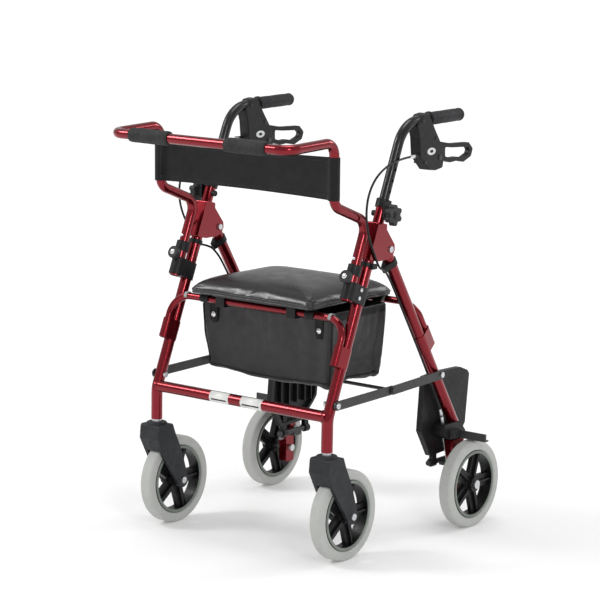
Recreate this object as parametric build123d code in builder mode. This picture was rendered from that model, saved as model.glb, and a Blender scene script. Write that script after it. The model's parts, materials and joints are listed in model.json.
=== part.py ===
from build123d import *
import math
import os

# Folding four-wheeled walker with a seat, a bag and a push bar with a back band.
# X is the width, -Y is the caster end, +Y is the end the user walks at, Z is up, ground at Z = 0.

# Wheels
WHEEL_R = 100.0
TYRE_WIDTH = 32.0
RIM_R = 77.0
SPOKES = 5
# Frame tubes
TUBE = 25.4
TUBE_BORE = 22.2
LEG_X = 242.0
# Front legs: upright over the caster, then leaning back
LEAN = math.radians(22.2)
LEG_FOOT_Z = 249.3
BEND_Y = -205.0
BEND_Z = 321.0
LEG_TOP_Z = 757.0
CROSSBAR_Z = 325.0
# Fold pivot and rear legs
PIVOT_Y = -13.0
PIVOT_Z = 667.0
SPLAY = math.radians(33.0)
REAR_FOOT_Z = 203.0
# Axles
CASTER_AXLE_Y = -144.0
REAR_AXLE_Y = 270.0
REAR_WHEEL_X = 288.0
AXLE_Z = 100.0
AXLE_R = 4.0
RUNNING = 0.05
# Seat
SEAT_TUBE = 16.0
SEAT_TUBE_BORE = 13.0
SEAT_TUBE_Z = 527.0
REAR_TUBE_Z = 532.6
SEAT_HALF_X = 169.0
SEAT_FRONT_Y = -176.0
SEAT_REAR_Y = 116.0
SEAT_BASE_Z = 541.0
BOARD_T = 8.0
CUSHION_T = 38.0
SEAT_CORNER = 10.0
SEAT_LIP = 7.0
SLEEVE_OFFSET = 23.7
# Push bar and back band
POST_D = 22.0
POST_BORE = 18.8
POST_OFFSET = 40.0
PUSH_BAR_Y = -354.0
PUSH_BAR_Z = 905.0
POST_Y = -199.0
BAND_LOW_Z = 788.0
BAND_HIGH_Z = 880.0
PUSH_GRIP_D = 32.0
# Handles
HANDLE_TUBE_D = 22.1
HANDLE_LEVEL_Z = 936.0
HANDLE_END_Y = 256.0
HANDLE_END_Z = 940.5
LEVER_Y = 166.0
LEVER_Z = 866.0
# Side braces
BRACE_F = (-193.0, 350.0)
BRACE_M = (4.0, 354.0)
BRACE_R = (186.0, 361.0)
BRACE_HEIGHT = 20.0
BRACE_T = 3.0
# Cables
CABLE_D = 5.0
# Brake shoe pivot
SHOE_Y = 240.0
SHOE_Z = 214.0
# Footplates, stowed upright inside the rear legs
PLATE_X = 217.0
PLATE_T = 14.0
PLATE_HINGE_Y = 262.0
PLATE_HINGE_Z = 146.0

SIDES = (("right", 1), ("left", -1))
os.makedirs("parts", exist_ok=True)


def save(part, label):
    """Label a finished piece and write it."""
    part.label = label
    export_step(part, f"parts/{label}.step")


def on_leg(z, front=0.0):
    """(Y, Z) of the front leg's axis at height z, moved square to it towards the front."""
    y = BEND_Y + (z - BEND_Z) * math.tan(LEAN)
    return (y - front * math.cos(LEAN), z + front * math.sin(LEAN))


def on_rear(z, behind=0.0):
    """(Y, Z) of the rear leg's axis at height z, moved square to it towards the rear."""
    y = PIVOT_Y + (PIVOT_Z - z) * math.tan(SPLAY)
    return (y + behind * math.cos(SPLAY), z + behind * math.sin(SPLAY))


def pipe(points, radii, outer, bore=0.0, mode=Mode.ADD):
    """Round bar or tube along straight runs joined by tangent arcs."""
    with BuildLine() as route:
        FilletPolyline(*points, radius=radii)
    with BuildSketch(Plane(origin=route.line @ 0, z_dir=route.line % 0)) as section:
        Circle(outer / 2)
        if bore:
            Circle(bore / 2, mode=Mode.SUBTRACT)
    sweep(sections=section.sketch, path=route.line, mode=mode)


def rod(start, end, outer, bore=0.0, mode=Mode.ADD):
    """Straight round bar or tube between two points."""
    span = Vector(*end) - Vector(*start)
    with BuildSketch(Plane(origin=start, z_dir=span)) as section:
        Circle(outer / 2)
        if bore:
            Circle(bore / 2, mode=Mode.SUBTRACT)
    extrude(section.sketch, amount=span.length, mode=mode)


def side_plate(outline, x_low, x_high, corner=0.0, mode=Mode.ADD):
    """Flat plate of constant outline in Y and Z between two X planes."""
    with BuildSketch(Plane.YZ.offset(min(x_low, x_high))) as section:
        Polygon(*outline, align=None)
        if corner:
            fillet(section.vertices(), radius=corner)
    extrude(section.sketch, amount=abs(x_high - x_low), mode=mode)


def block(low, high, mode=Mode.ADD):
    """Rectangular block between two opposite corners."""
    sizes = [abs(b - a) for a, b in zip(low, high)]
    middle = [(a + b) / 2 for a, b in zip(low, high)]
    with Locations(tuple(middle)):
        Box(*sizes, mode=mode)


def capsule_block(start, end, spacing_dir, spacing, radius_a, radius_b, mode=Mode.ADD):
    """Straight hull of two parallel round bars, from start to end."""
    span = Vector(*end) - Vector(*start)
    with BuildSketch(Plane(origin=start, x_dir=spacing_dir, z_dir=span)) as section:
        Circle(radius_a)
        with Locations((spacing, 0)):
            Circle(radius_b)
        make_hull()
    extrude(section.sketch, amount=span.length, mode=mode)


def bolt(y, z, x_head, x_end, shank, head, sign):
    """Bolt along X with a domed head outside and a nut inside."""
    rod((sign * x_head, y, z), (sign * x_end, y, z), shank)
    rod((sign * x_head, y, z), (sign * (x_head + 3.2), y, z), head)
    with BuildSketch(Plane(origin=(sign * x_end, y, z), z_dir=(-sign, 0, 0))) as nut:
        RegularPolygon(head / 2, 6)
    extrude(nut.sketch, amount=5.0)


def arc_radii(points):
    """Largest smooth radius for each corner of a cable's route."""
    radii = []
    for before, here, after in zip(points, points[1:], points[2:]):
        run_in = Vector(*here) - Vector(*before)
        run_out = Vector(*after) - Vector(*here)
        turn = math.radians(run_in.get_angle(run_out))
        radii.append(0.45 * min(run_in.length, run_out.length) / math.tan(turn / 2))
    return radii


def front_leg_path(sign):
    """Corners of a front leg's axis."""
    top = on_leg(LEG_TOP_Z)
    x = sign * LEG_X
    return [(x, BEND_Y, LEG_FOOT_Z), (x, BEND_Y, BEND_Z), (x, top[0], top[1])]


def rear_leg_ends(sign):
    """Ends of a rear leg's axis, from just above the pivot to the foot."""
    top = on_rear(PIVOT_Z + 11.0)
    foot = on_rear(REAR_FOOT_Z)
    x = sign * LEG_X
    return (x, top[0], top[1]), (x, foot[0], foot[1])


# Brake cables: from the housing to a guide on the front leg, then down the rear leg to the brake.
UPPER_CABLE = [
    (249.0, 77.5, 861.0), (254.0, 44.0, 861.0), (257.5, 6.0, 858.0), (259.0, -36.0, 849.0),
    (260.5, -75.0, 829.0), (262.0, -101.0, 799.0), (263.0, -111.0, 765.0), (263.2, -109.0, 731.0),
    (262.0, -97.0, 698.0), (260.2, -78.5, 669.0), (260.2, -66.0, 647.0),
]
RUN_TOP = on_rear(590, -18.5)
RUN_LOW = on_rear(318, -18.5)
LOWER_CABLE = [
    (260.2, -65.7, 646.2), (259.5, -57.0, 634.0), (256.0, -42.0, 626.5), (250.5, -25.0, 622.0),
    (245.5, -10.0, 614.5), (242.0, RUN_TOP[0], RUN_TOP[1]), (242.0, RUN_LOW[0], RUN_LOW[1]),
    (242.0, 219.6, 258.4),
]


def cable_pipe(route, sign, outer, mode=Mode.ADD):
    """A cable's round section along its whole route on one side."""
    points = [(sign * x, y, z) for x, y, z in route]
    pipe(points, arc_radii(points), outer, mode=mode)


# ---------------------------------------------------------------- front frame

KNOB_Y, KNOB_Z = on_leg(LEG_TOP_Z - 12.0)
for side, sign in SIDES:
    with BuildPart() as front_leg:
        pipe(front_leg_path(sign), 55.0, TUBE, TUBE_BORE)
        rod((sign * 220, KNOB_Y, KNOB_Z), (sign * 262, KNOB_Y, KNOB_Z), 8.0, mode=Mode.SUBTRACT)
        rod((sign * 220, BRACE_F[0], BRACE_F[1]), (sign * 262, BRACE_F[0], BRACE_F[1]), 8.0,
            mode=Mode.SUBTRACT)
    save(front_leg.part, f"front_leg_{side}")

with BuildPart() as front_crossbar:
    rod((-LEG_X, BEND_Y, CROSSBAR_Z), (LEG_X, BEND_Y, CROSSBAR_Z), TUBE, TUBE_BORE)
    for side, sign in SIDES:
        pipe(front_leg_path(sign), 55.0, TUBE, mode=Mode.SUBTRACT)
        block((sign * LEG_X, BEND_Y - 30, 300), (sign * (LEG_X + 40), BEND_Y + 30, 350),
              mode=Mode.SUBTRACT)
save(front_crossbar.part, "front_crossbar")

# Pressed U bracket round each front leg: its cheeks carry the rear leg's pivot.
CHEEK_IN = 13.0
CHEEK_T = 2.5
with BuildPart() as hinge_brackets:
    for side, sign in SIDES:
        cheek = [
            on_leg(724, 17), on_leg(728, -13), on_leg(718, -17), (2.0, 676.0),
            (3.0, 664.0), (-4.0, 652.0), (-18.0, 646.0), on_leg(650, -13), on_leg(646, 17),
        ]
        side_plate(cheek, sign * (LEG_X - CHEEK_IN - CHEEK_T), sign * (LEG_X + CHEEK_IN + CHEEK_T), 3.0)
        rear_gap = [
            on_leg(760, 13.2), on_leg(760, -70), on_leg(620, -90), on_leg(620, 13.2),
        ]
        side_plate(rear_gap, sign * (LEG_X - CHEEK_IN), sign * (LEG_X + CHEEK_IN),
                   mode=Mode.SUBTRACT)
        rod((sign * 200, PIVOT_Y, PIVOT_Z), (sign * 280, PIVOT_Y, PIVOT_Z), 8.0, mode=Mode.SUBTRACT)
save(hinge_brackets.part, "hinge_brackets")

# Bent tube under the seat's front edge and the welded sockets that hold its ends.
FRONT_DIR = (0, -math.cos(LEAN), math.sin(LEAN))
SEAT_TUBE_Y = on_leg(SEAT_TUBE_Z)[0] - SLEEVE_OFFSET / math.cos(LEAN)


def sleeve_line(z):
    """Point on the front socket's axis at height z, for the right side."""
    return (LEG_X, on_leg(z)[0] - SLEEVE_OFFSET / math.cos(LEAN), z)


with BuildPart() as seat_front_tube:
    low = sleeve_line(432)
    ends = [low, (LEG_X, SEAT_TUBE_Y, SEAT_TUBE_Z), (0, SEAT_TUBE_Y, SEAT_TUBE_Z)]
    pipe(ends, 46.0, SEAT_TUBE, SEAT_TUBE_BORE)
    mirror(about=Plane.YZ)
save(seat_front_tube.part, "seat_front_tube")

with BuildPart() as seat_front_sockets:
    for side, sign in SIDES:
        low_leg = (sign * LEG_X, on_leg(424)[0], 424)
        high_leg = (sign * LEG_X, on_leg(465)[0], 465)
        capsule_block(low_leg, high_leg, FRONT_DIR, SLEEVE_OFFSET, 14.2, 10.6)
        pipe(front_leg_path(sign), 55.0, TUBE, mode=Mode.SUBTRACT)
        far_low = sleeve_line(400)
        far_high = sleeve_line(520)
        rod((sign * far_low[0], far_low[1], far_low[2]), (sign * far_high[0], far_high[1], far_high[2]),
            SEAT_TUBE, mode=Mode.SUBTRACT)
save(seat_front_sockets.part, "seat_front_sockets")


# Sockets for the push bar's posts, in front of the legs.
def post_line(z):
    """(Y, Z) on a post's axis where it leaves the leg axis square at height z."""
    return on_leg(z, POST_OFFSET)


with BuildPart() as backrest_sockets:
    for side, sign in SIDES:
        low = post_line(553)
        high = post_line(627)
        rod((sign * LEG_X, low[0], low[1]), (sign * LEG_X, high[0], high[1]), TUBE, TUBE_BORE)
save(backrest_sockets.part, "backrest_sockets")

with BuildPart() as socket_clamps:
    for side, sign in SIDES:
        low = on_leg(556)
        high = on_leg(592)
        capsule_block((sign * LEG_X, low[0], low[1]), (sign * LEG_X, high[0], high[1]), FRONT_DIR,
                      POST_OFFSET, 15.5, 15.5)
        below = on_leg(530)
        above = on_leg(620)
        rod((sign * LEG_X, below[0], below[1]), (sign * LEG_X, above[0], above[1]), TUBE,
            mode=Mode.SUBTRACT)
        below = on_leg(530, POST_OFFSET)
        above = on_leg(620, POST_OFFSET)
        rod((sign * LEG_X, below[0], below[1]), (sign * LEG_X, above[0], above[1]), TUBE,
            mode=Mode.SUBTRACT)
save(socket_clamps.part, "socket_clamps")

# Black collars: at the leg tops round the handle tubes, at the socket tops, and the cable guides.
with BuildPart() as tube_collars:
    for side, sign in SIDES:
        x = sign * LEG_X
        low = on_leg(LEG_TOP_Z + 0.2)
        high = on_leg(LEG_TOP_Z + 17)
        rod((x, low[0], low[1]), (x, high[0], high[1]), 32.0, HANDLE_TUBE_D + 2 * RUNNING)
        block((sign * 255.2, KNOB_Y - 10, KNOB_Z - 11), (sign * 261.0, KNOB_Y + 14, KNOB_Z + 28))
        rod((sign * 250, KNOB_Y, KNOB_Z), (sign * 265, KNOB_Y, KNOB_Z), 8.0, mode=Mode.SUBTRACT)
        rod((sign * 222, KNOB_Y, KNOB_Z), (sign * 231, KNOB_Y, KNOB_Z), 13.0)
        pipe(front_leg_path(sign), 55.0, TUBE, mode=Mode.SUBTRACT)
        low = post_line(606)
        high = post_line(627)
        rod((x, low[0], low[1]), (x, high[0], high[1]), 31.0, TUBE)
        y, z = on_leg(633)
        rod((x, y, z), (x, y + 10 * math.sin(LEAN), z + 10 * math.cos(LEAN)), 30.0, TUBE)
        block((sign * 256, y - 6, z - 2), (sign * 263.5, y + 10, z + 9))
        cable_pipe(UPPER_CABLE, sign, CABLE_D + 0.4, mode=Mode.SUBTRACT)
        cable_pipe(LOWER_CABLE, sign, CABLE_D + 0.4, mode=Mode.SUBTRACT)
        rod((x, on_leg(620)[0], 620), (x, on_leg(670)[0], 670), TUBE, mode=Mode.SUBTRACT)
save(tube_collars.part, "tube_collars")

with BuildPart() as frame_fasteners:
    for side, sign in SIDES:
        bolt(PIVOT_Y, PIVOT_Z, LEG_X + 15.6, LEG_X - 15.6, 7.9, 14.0, sign)
        bolt(BRACE_F[0], BRACE_F[1], LEG_X + 17.6, LEG_X - 12.8, 7.9, 13.0, sign)
        for z in (566, 583):
            y, height = on_leg(z, POST_OFFSET / 2)
            rod((sign * (LEG_X + 15.5), y, height), (sign * (LEG_X + 18.0), y, height), 8.5)
save(frame_fasteners.part, "frame_fasteners")

# Bag under the seat, hung between the two seat tubes.
with BuildPart() as storage_bag:
    with BuildSketch(Plane.XY.offset(361)) as bag_bottom:
        with Locations((0, -23)):
            RectangleRounded(348, 190, 16)
    with BuildSketch(Plane.XY.offset(533)) as bag_top:
        with Locations((0, -21)):
            RectangleRounded(368, 198, 12)
    loft()
save(storage_bag.part, "storage_bag")

# ---------------------------------------------------------------- wheels


def tyre(x_mid, y):
    """Solid tyre with rounded shoulders on a rim."""
    half = TYRE_WIDTH / 2
    with BuildSketch(Plane(origin=(x_mid, y, AXLE_Z), x_dir=(1, 0, 0), z_dir=(0, -1, 0))) as profile:
        with Locations((0, (RIM_R + WHEEL_R) / 2)):
            Rectangle(TYRE_WIDTH, WHEEL_R - RIM_R)
        outer = profile.vertices().group_by(Axis.Z)[-1]
        inner = profile.vertices().group_by(Axis.Z)[0]
        fillet(outer, radius=7.0)
        chamfer(inner, length=2.0)
    revolve(profile.sketch, axis=Axis((x_mid, y, AXLE_Z), (1, 0, 0)))


def spoke_plane(x_mid, y):
    """Plane square to the axle through the middle of a wheel, its first axis along +Y."""
    return Plane(origin=(x_mid, y, AXLE_Z), x_dir=(0, 1, 0), z_dir=(1, 0, 0))


def hub(x_mid, y, boss_half, bore_r):
    """Moulded wheel centre: rim, ribbed spokes and boss."""
    middle = spoke_plane(x_mid, y)
    with BuildSketch(middle.offset(-14)) as rim:
        Circle(RIM_R)
        Circle(RIM_R - 6, mode=Mode.SUBTRACT)
    extrude(rim.sketch, amount=28)
    with BuildSketch(middle.offset(-5)) as web:
        with PolarLocations(0, SPOKES):
            with Locations((43, 0)):
                Rectangle(70, 29)
        Circle(RIM_R - 5.5, mode=Mode.INTERSECT)
    extrude(web.sketch, amount=10)
    with BuildSketch(middle.offset(-11)) as ribs:
        with PolarLocations(0, SPOKES):
            with Locations((43, 0)):
                Rectangle(62, 3.6)
    extrude(ribs.sketch, amount=22)
    with BuildSketch(middle.offset(-boss_half)) as boss:
        Circle(17)
    extrude(boss.sketch, amount=2 * boss_half)
    with BuildSketch(middle.offset(-boss_half - 1)) as bore:
        Circle(bore_r)
    extrude(bore.sketch, amount=2 * boss_half + 2, mode=Mode.SUBTRACT)


FORK_TOP_Z = 243.0
ARM_IN = 18.6
ARM_OUT = 27.0
for side, sign in SIDES:
    x = sign * LEG_X
    with BuildPart() as caster_fork:
        arms = [(-229, 238), (-232, 206), (-207, 160), (-160, 94), (-127, 104), (-149, 170), (-171, 214),
                (-181, 238)]
        side_plate(arms, x - ARM_OUT, x + ARM_OUT, 6.0)
        rod((x - ARM_OUT, CASTER_AXLE_Y, AXLE_Z), (x + ARM_OUT, CASTER_AXLE_Y, AXLE_Z), 35.0)
        rod((x, BEND_Y, 196), (x, BEND_Y, FORK_TOP_Z), 47.0)
        rod((x - ARM_IN, CASTER_AXLE_Y, AXLE_Z), (x + ARM_IN, CASTER_AXLE_Y, AXLE_Z), 2 * WHEEL_R + 8,
            mode=Mode.SUBTRACT)
        rod((x - 40, CASTER_AXLE_Y, AXLE_Z), (x + 40, CASTER_AXLE_Y, AXLE_Z), 2 * AXLE_R,
            mode=Mode.SUBTRACT)
        fillet(caster_fork.edges().filter_by(GeomType.CIRCLE).group_by(Axis.Z)[-1], radius=4.0)
    save(caster_fork.part, f"caster_fork_{side}")
    with BuildPart() as caster_hardware:
        rod((x, BEND_Y, FORK_TOP_Z), (x, BEND_Y, LEG_FOOT_Z - 0.3), 20.5)
        rod((x, BEND_Y, LEG_FOOT_Z - 0.3), (x, BEND_Y, 284), TUBE_BORE - 2 * RUNNING)
        rod((x - ARM_OUT, CASTER_AXLE_Y, AXLE_Z), (x + ARM_OUT, CASTER_AXLE_Y, AXLE_Z), 2 * AXLE_R)
        for end in (-1, 1):
            outer = x + end * ARM_OUT
            rod((outer, CASTER_AXLE_Y, AXLE_Z), (outer + end * 4.5, CASTER_AXLE_Y, AXLE_Z), 15.0)
    save(caster_hardware.part, f"caster_hardware_{side}")
    with BuildPart() as front_tyre:
        tyre(x, CASTER_AXLE_Y)
    save(front_tyre.part, f"front_tyre_{side}")
    with BuildPart() as front_hub:
        hub(x, CASTER_AXLE_Y, ARM_IN - 0.3, AXLE_R + RUNNING)
    save(front_hub.part, f"front_hub_{side}")
    with BuildPart() as rear_tyre:
        tyre(sign * REAR_WHEEL_X, REAR_AXLE_Y)
    save(rear_tyre.part, f"rear_tyre_{side}")
    with BuildPart() as rear_hub:
        hub(sign * REAR_WHEEL_X, REAR_AXLE_Y, 18.3, AXLE_R + 1 + RUNNING)
    save(rear_hub.part, f"rear_hub_{side}")

# ---------------------------------------------------------------- rear frame

for side, sign in SIDES:
    x = sign * LEG_X
    with BuildPart() as rear_leg:
        top, foot = rear_leg_ends(sign)
        rod(top, foot, TUBE, TUBE_BORE)
        rod((sign * 210, PIVOT_Y, PIVOT_Z), (sign * 270, PIVOT_Y, PIVOT_Z), 8.0, mode=Mode.SUBTRACT)
        rod((sign * 210, BRACE_R[0], BRACE_R[1]), (sign * 270, BRACE_R[0], BRACE_R[1]), 8.0,
            mode=Mode.SUBTRACT)
    save(rear_leg.part, f"rear_leg_{side}")

REAR_DIR = (0, math.cos(SPLAY), math.sin(SPLAY))
REAR_TUBE_Y = on_rear(REAR_TUBE_Z)[0] + SLEEVE_OFFSET / math.cos(SPLAY)


def rear_sleeve_line(z):
    """Point on the rear socket's axis at height z, for the right side."""
    return (LEG_X, on_rear(z)[0] + SLEEVE_OFFSET / math.cos(SPLAY), z)


with BuildPart() as seat_rear_tube:
    ends = [rear_sleeve_line(434), (LEG_X, REAR_TUBE_Y, REAR_TUBE_Z), (0, REAR_TUBE_Y, REAR_TUBE_Z)]
    pipe(ends, 42.0, SEAT_TUBE, SEAT_TUBE_BORE)
    mirror(about=Plane.YZ)
save(seat_rear_tube.part, "seat_rear_tube")

AXLE_PLATE = [(247, 199), (293, 199), (284, 165), (284, 66), (256, 66), (254, 150), (247, 176)]
with BuildPart() as rear_leg_brackets:
    for side, sign in SIDES:
        high_leg = on_rear(459)
        low_leg = on_rear(419)
        capsule_block((sign * LEG_X, high_leg[0], high_leg[1]), (sign * LEG_X, low_leg[0], low_leg[1]),
                      REAR_DIR, SLEEVE_OFFSET, 14.2, 10.6)
        side_plate(AXLE_PLATE, sign * (LEG_X - 8), sign * (LEG_X + 14), 4.0)
        block((sign * (LEG_X - 16), 262, 153), (sign * (LEG_X - 8), 280, 168))
        top, foot = rear_leg_ends(sign)
        rod(top, foot, TUBE, mode=Mode.SUBTRACT)
        high = rear_sleeve_line(560)
        low = rear_sleeve_line(400)
        rod((sign * high[0], high[1], high[2]), (sign * low[0], low[1], low[2]), SEAT_TUBE,
            mode=Mode.SUBTRACT)
        rod((sign * 200, REAR_AXLE_Y, AXLE_Z), (sign * 290, REAR_AXLE_Y, AXLE_Z), 2 * AXLE_R + 2,
            mode=Mode.SUBTRACT)
save(rear_leg_brackets.part, "rear_leg_brackets")

HUB_IN = REAR_WHEEL_X - 18.3
HUB_OUT = REAR_WHEEL_X + 18.3
with BuildPart() as rear_fasteners:
    for side, sign in SIDES:
        rod((sign * (LEG_X - 8.0), REAR_AXLE_Y, AXLE_Z), (sign * (HUB_OUT + 0.3), REAR_AXLE_Y, AXLE_Z),
            2 * AXLE_R + 2)
        rod((sign * (LEG_X + 14), REAR_AXLE_Y, AXLE_Z), (sign * (HUB_IN - 0.3), REAR_AXLE_Y, AXLE_Z), 17.0)
        rod((sign * (HUB_OUT + 0.3), REAR_AXLE_Y, AXLE_Z), (sign * (HUB_OUT + 5), REAR_AXLE_Y, AXLE_Z), 20.0)
        rod((sign * (LEG_X - 16), REAR_AXLE_Y, AXLE_Z), (sign * (LEG_X - 8), REAR_AXLE_Y, AXLE_Z), 16.0)
        bolt(BRACE_R[0], BRACE_R[1], LEG_X + 21.2, LEG_X - 12.8, 7.9, 13.0, sign)
        rod((sign * LEG_X, 228, 205), (sign * (LEG_X + 2), 247, 128), 2.0)
        rod((sign * (LEG_X + 2), 243, 124), (sign * (LEG_X + 2), 254.2, 124), 8.0)
        rod((sign * LEG_X, 220, 257), (sign * LEG_X, 224.5, 240), 8.0)
save(rear_fasteners.part, "rear_fasteners")

# Black clamps on the rear legs: brake body at the foot and cable clip near the pivot.
BRAKE_BODY = [(212, 240), (212, 214), (232, 203), (296, 203), (294, 216), (272, 240)]
CLIP_TOP_Z = 641.0
CLIP_LOW_Z = 629.0
with BuildPart() as rear_clamps:
    for side, sign in SIDES:
        x = sign * LEG_X
        side_plate(BRAKE_BODY, sign * (LEG_X - 15), sign * (LEG_X + 15.5), 3.0)
        top = on_rear(CLIP_TOP_Z)
        low = on_rear(CLIP_LOW_Z)
        capsule_block((x, top[0], top[1]), (x, low[0], low[1]), (0, -REAR_DIR[1], -REAR_DIR[2]),
                      24.0, 15.0, 6.0)
        first, last = rear_leg_ends(sign)
        rod(first, last, TUBE, mode=Mode.SUBTRACT)
        rod((x, 220, 257), (x, 224.5, 240), 8.0, mode=Mode.SUBTRACT)
        rod((x, 228, 206), (x, 228.5, 203), 2.2, mode=Mode.SUBTRACT)
        cable_pipe(LOWER_CABLE, sign, CABLE_D + 0.4, mode=Mode.SUBTRACT)
save(rear_clamps.part, "rear_clamps")

FOOT_BAR_D = 12.0
with BuildPart() as footplate_hinges:
    for side, sign in SIDES:
        x = sign * PLATE_X
        rod((x, 206, PLATE_HINGE_Z), (x, 318, PLATE_HINGE_Z), FOOT_BAR_D)
        block((sign * (PLATE_X - 5), 258, PLATE_HINGE_Z - 13), (sign * (LEG_X - 8.2), 284, PLATE_HINGE_Z - 6.2))
        rod((x, 258, PLATE_HINGE_Z - 7), (x, 284, PLATE_HINGE_Z - 7), 12.0)
save(footplate_hinges.part, "footplate_hinges")

# Footplates: ribbed trays on a knuckle each, hinged on the bars along Y.
PLATE = [(176, 352), (240, 356), (318, 354), (346, 343), (353, 334), (341, 221), (330, 208),
         (286, 168), (206, 164), (166, 228)]
for side, sign in SIDES:
    x_in = sign * (PLATE_X - PLATE_T / 2)
    x_out = sign * (PLATE_X + PLATE_T / 2)
    with BuildPart() as footplate:
        side_plate(PLATE, x_in, x_out, 4.0)
        recess = [(184, 344), (240, 348), (316, 346), (340, 336), (345, 331), (334, 225), (326, 214),
                  (284, 176), (211, 172), (174, 230)]
        side_plate(recess, sign * (PLATE_X - PLATE_T / 2 - 1), sign * (PLATE_X + PLATE_T / 2 - 4), 3.0,
                   mode=Mode.SUBTRACT)
        for y in (205, 235, 265, 295, 320):
            block((x_in, y - 1.5, 215), (sign * (PLATE_X + 4), y + 1.5, 340))
        for y in (216, 300):
            rod((sign * PLATE_X, y, PLATE_HINGE_Z), (sign * PLATE_X, y + 14, PLATE_HINGE_Z),
                FOOT_BAR_D + 8)
            block((sign * (PLATE_X - 4), y, PLATE_HINGE_Z + 4), (sign * (PLATE_X + 7), y + 14, 190))
        rod((sign * PLATE_X, 190, PLATE_HINGE_Z), (sign * PLATE_X, 330, PLATE_HINGE_Z),
            FOOT_BAR_D + 2 * RUNNING, mode=Mode.SUBTRACT)
    save(footplate.part, f"footplate_{side}")

# Brake shoes: a bar across the top of each rear tyre on an arm that pivots on the brake body.
SHOE_ARM = [(SHOE_Y - 9, SHOE_Z - 9), (SHOE_Y - 9, SHOE_Z + 9), (276, 221), (276, 203.4), (262, 203.4)]
for side, sign in SIDES:
    with BuildPart() as brake_shoe:
        side_plate(SHOE_ARM, sign * 258.0, sign * 263.0, 2.0)
        block((sign * 263.0, 262, 203.4), (sign * 334.0, 267, 221))
        block((sign * 263.0, 267, 203.4), (sign * 334.0, 276, 206.4))
        for step in range(9):
            tooth = sign * (270 + 7.0 * step)
            block((tooth, 267, 206.4), (tooth + sign * 2.0, 272, 219))
        rod((sign * 257.7, SHOE_Y, SHOE_Z), (sign * 265.5, SHOE_Y, SHOE_Z), 13.0)
    save(brake_shoe.part, f"brake_shoe_{side}")


# ---------------------------------------------------------------- folding braces
def link(start, end, x_low, x_high, sign):
    """Flat bar with round ends between two pivots."""
    run = (end[0] - start[0], end[1] - start[1])
    length = math.hypot(*run)
    place = Plane(origin=(min(sign * x_low, sign * x_high), (start[0] + end[0]) / 2,
                          (start[1] + end[1]) / 2),
                  x_dir=(0, run[0], run[1]), z_dir=(1, 0, 0))
    with BuildSketch(place) as bar:
        SlotCenterToCenter(length, BRACE_HEIGHT)
    extrude(bar.sketch, amount=x_high - x_low)


with BuildPart() as brace_front_links:
    for side, sign in SIDES:
        link(BRACE_F, BRACE_M, 256.2, 259.2, sign)
        rod((sign * 240, BRACE_F[0], BRACE_F[1]), (sign * 270, BRACE_F[0], BRACE_F[1]), 8.0,
            mode=Mode.SUBTRACT)
        block((sign * 240, BRACE_F[0] - 30, BRACE_F[1] - 30), (sign * 256.2, BRACE_F[0] + 30,
              BRACE_F[1] + 30), mode=Mode.SUBTRACT)
    rod((-256.2, BRACE_M[0], BRACE_M[1]), (256.2, BRACE_M[0], BRACE_M[1]), 8.0)
save(brace_front_links.part, "brace_front_links")

with BuildPart() as brace_rear_links:
    for side, sign in SIDES:
        link(BRACE_R, BRACE_M, 259.6, 262.6, sign)
        rod((sign * 240, BRACE_R[0], BRACE_R[1]), (sign * 270, BRACE_R[0], BRACE_R[1]), 8.0,
            mode=Mode.SUBTRACT)
        rod((sign * 262.6, BRACE_M[0], BRACE_M[1]), (sign * 265.2, BRACE_M[0], BRACE_M[1]), 13.0)
save(brace_rear_links.part, "brace_rear_links")

# ---------------------------------------------------------------- seat

SEAT_MID_Y = (SEAT_FRONT_Y + SEAT_REAR_Y) / 2
SEAT_DEPTH = SEAT_REAR_Y - SEAT_FRONT_Y
with BuildPart() as seat_board:
    with BuildSketch(Plane.XY.offset(SEAT_BASE_Z)) as board:
        with Locations((0, SEAT_MID_Y)):
            RectangleRounded(2 * (SEAT_HALF_X - SEAT_LIP), SEAT_DEPTH - 2 * SEAT_LIP, SEAT_CORNER)
    extrude(amount=BOARD_T)
    for x in (-100, 100):
        block((x - 12, SEAT_TUBE_Y - 12, SEAT_TUBE_Z - 12), (x + 12, SEAT_TUBE_Y + 12, SEAT_BASE_Z))
    rod((-150, SEAT_TUBE_Y, SEAT_TUBE_Z), (150, SEAT_TUBE_Y, SEAT_TUBE_Z), SEAT_TUBE + 2 * RUNNING,
        mode=Mode.SUBTRACT)
save(seat_board.part, "seat_board")

with BuildPart() as seat_cushion:
    with BuildSketch(Plane.XY.offset(SEAT_BASE_Z)) as pad:
        with Locations((0, SEAT_MID_Y)):
            RectangleRounded(2 * SEAT_HALF_X, SEAT_DEPTH, SEAT_CORNER)
    extrude(amount=BOARD_T + CUSHION_T)
    fillet(seat_cushion.faces().sort_by(Axis.Z)[-1].edges(), radius=9.0)
    with BuildSketch(Plane.XY.offset(SEAT_BASE_Z)) as pocket:
        with Locations((0, SEAT_MID_Y)):
            RectangleRounded(2 * (SEAT_HALF_X - SEAT_LIP) + 0.4, SEAT_DEPTH - 2 * SEAT_LIP + 0.4, SEAT_CORNER)
    extrude(pocket.sketch, amount=BOARD_T, mode=Mode.SUBTRACT)
save(seat_cushion.part, "seat_cushion")

# ---------------------------------------------------------------- push bar and back band

KNEE = on_leg(717, POST_OFFSET)
POST_FOOT = post_line(560)
BACKREST_ROUTE = [
    (0, PUSH_BAR_Y, PUSH_BAR_Z),
    (LEG_X, PUSH_BAR_Y, PUSH_BAR_Z),
    (LEG_X, POST_Y, 911.0),
    (LEG_X, POST_Y + 2, 776.0),
    (LEG_X, KNEE[0], KNEE[1]),
    (LEG_X, POST_FOOT[0], POST_FOOT[1]),
]
BUTTON_Z = 638.0
BUTTON_D = 8.0


def post_front(z, out):
    """(Y, Z) square in front of a post's axis, where it leaves the leg axis square at height z."""
    return on_leg(z, POST_OFFSET + out)


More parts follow.
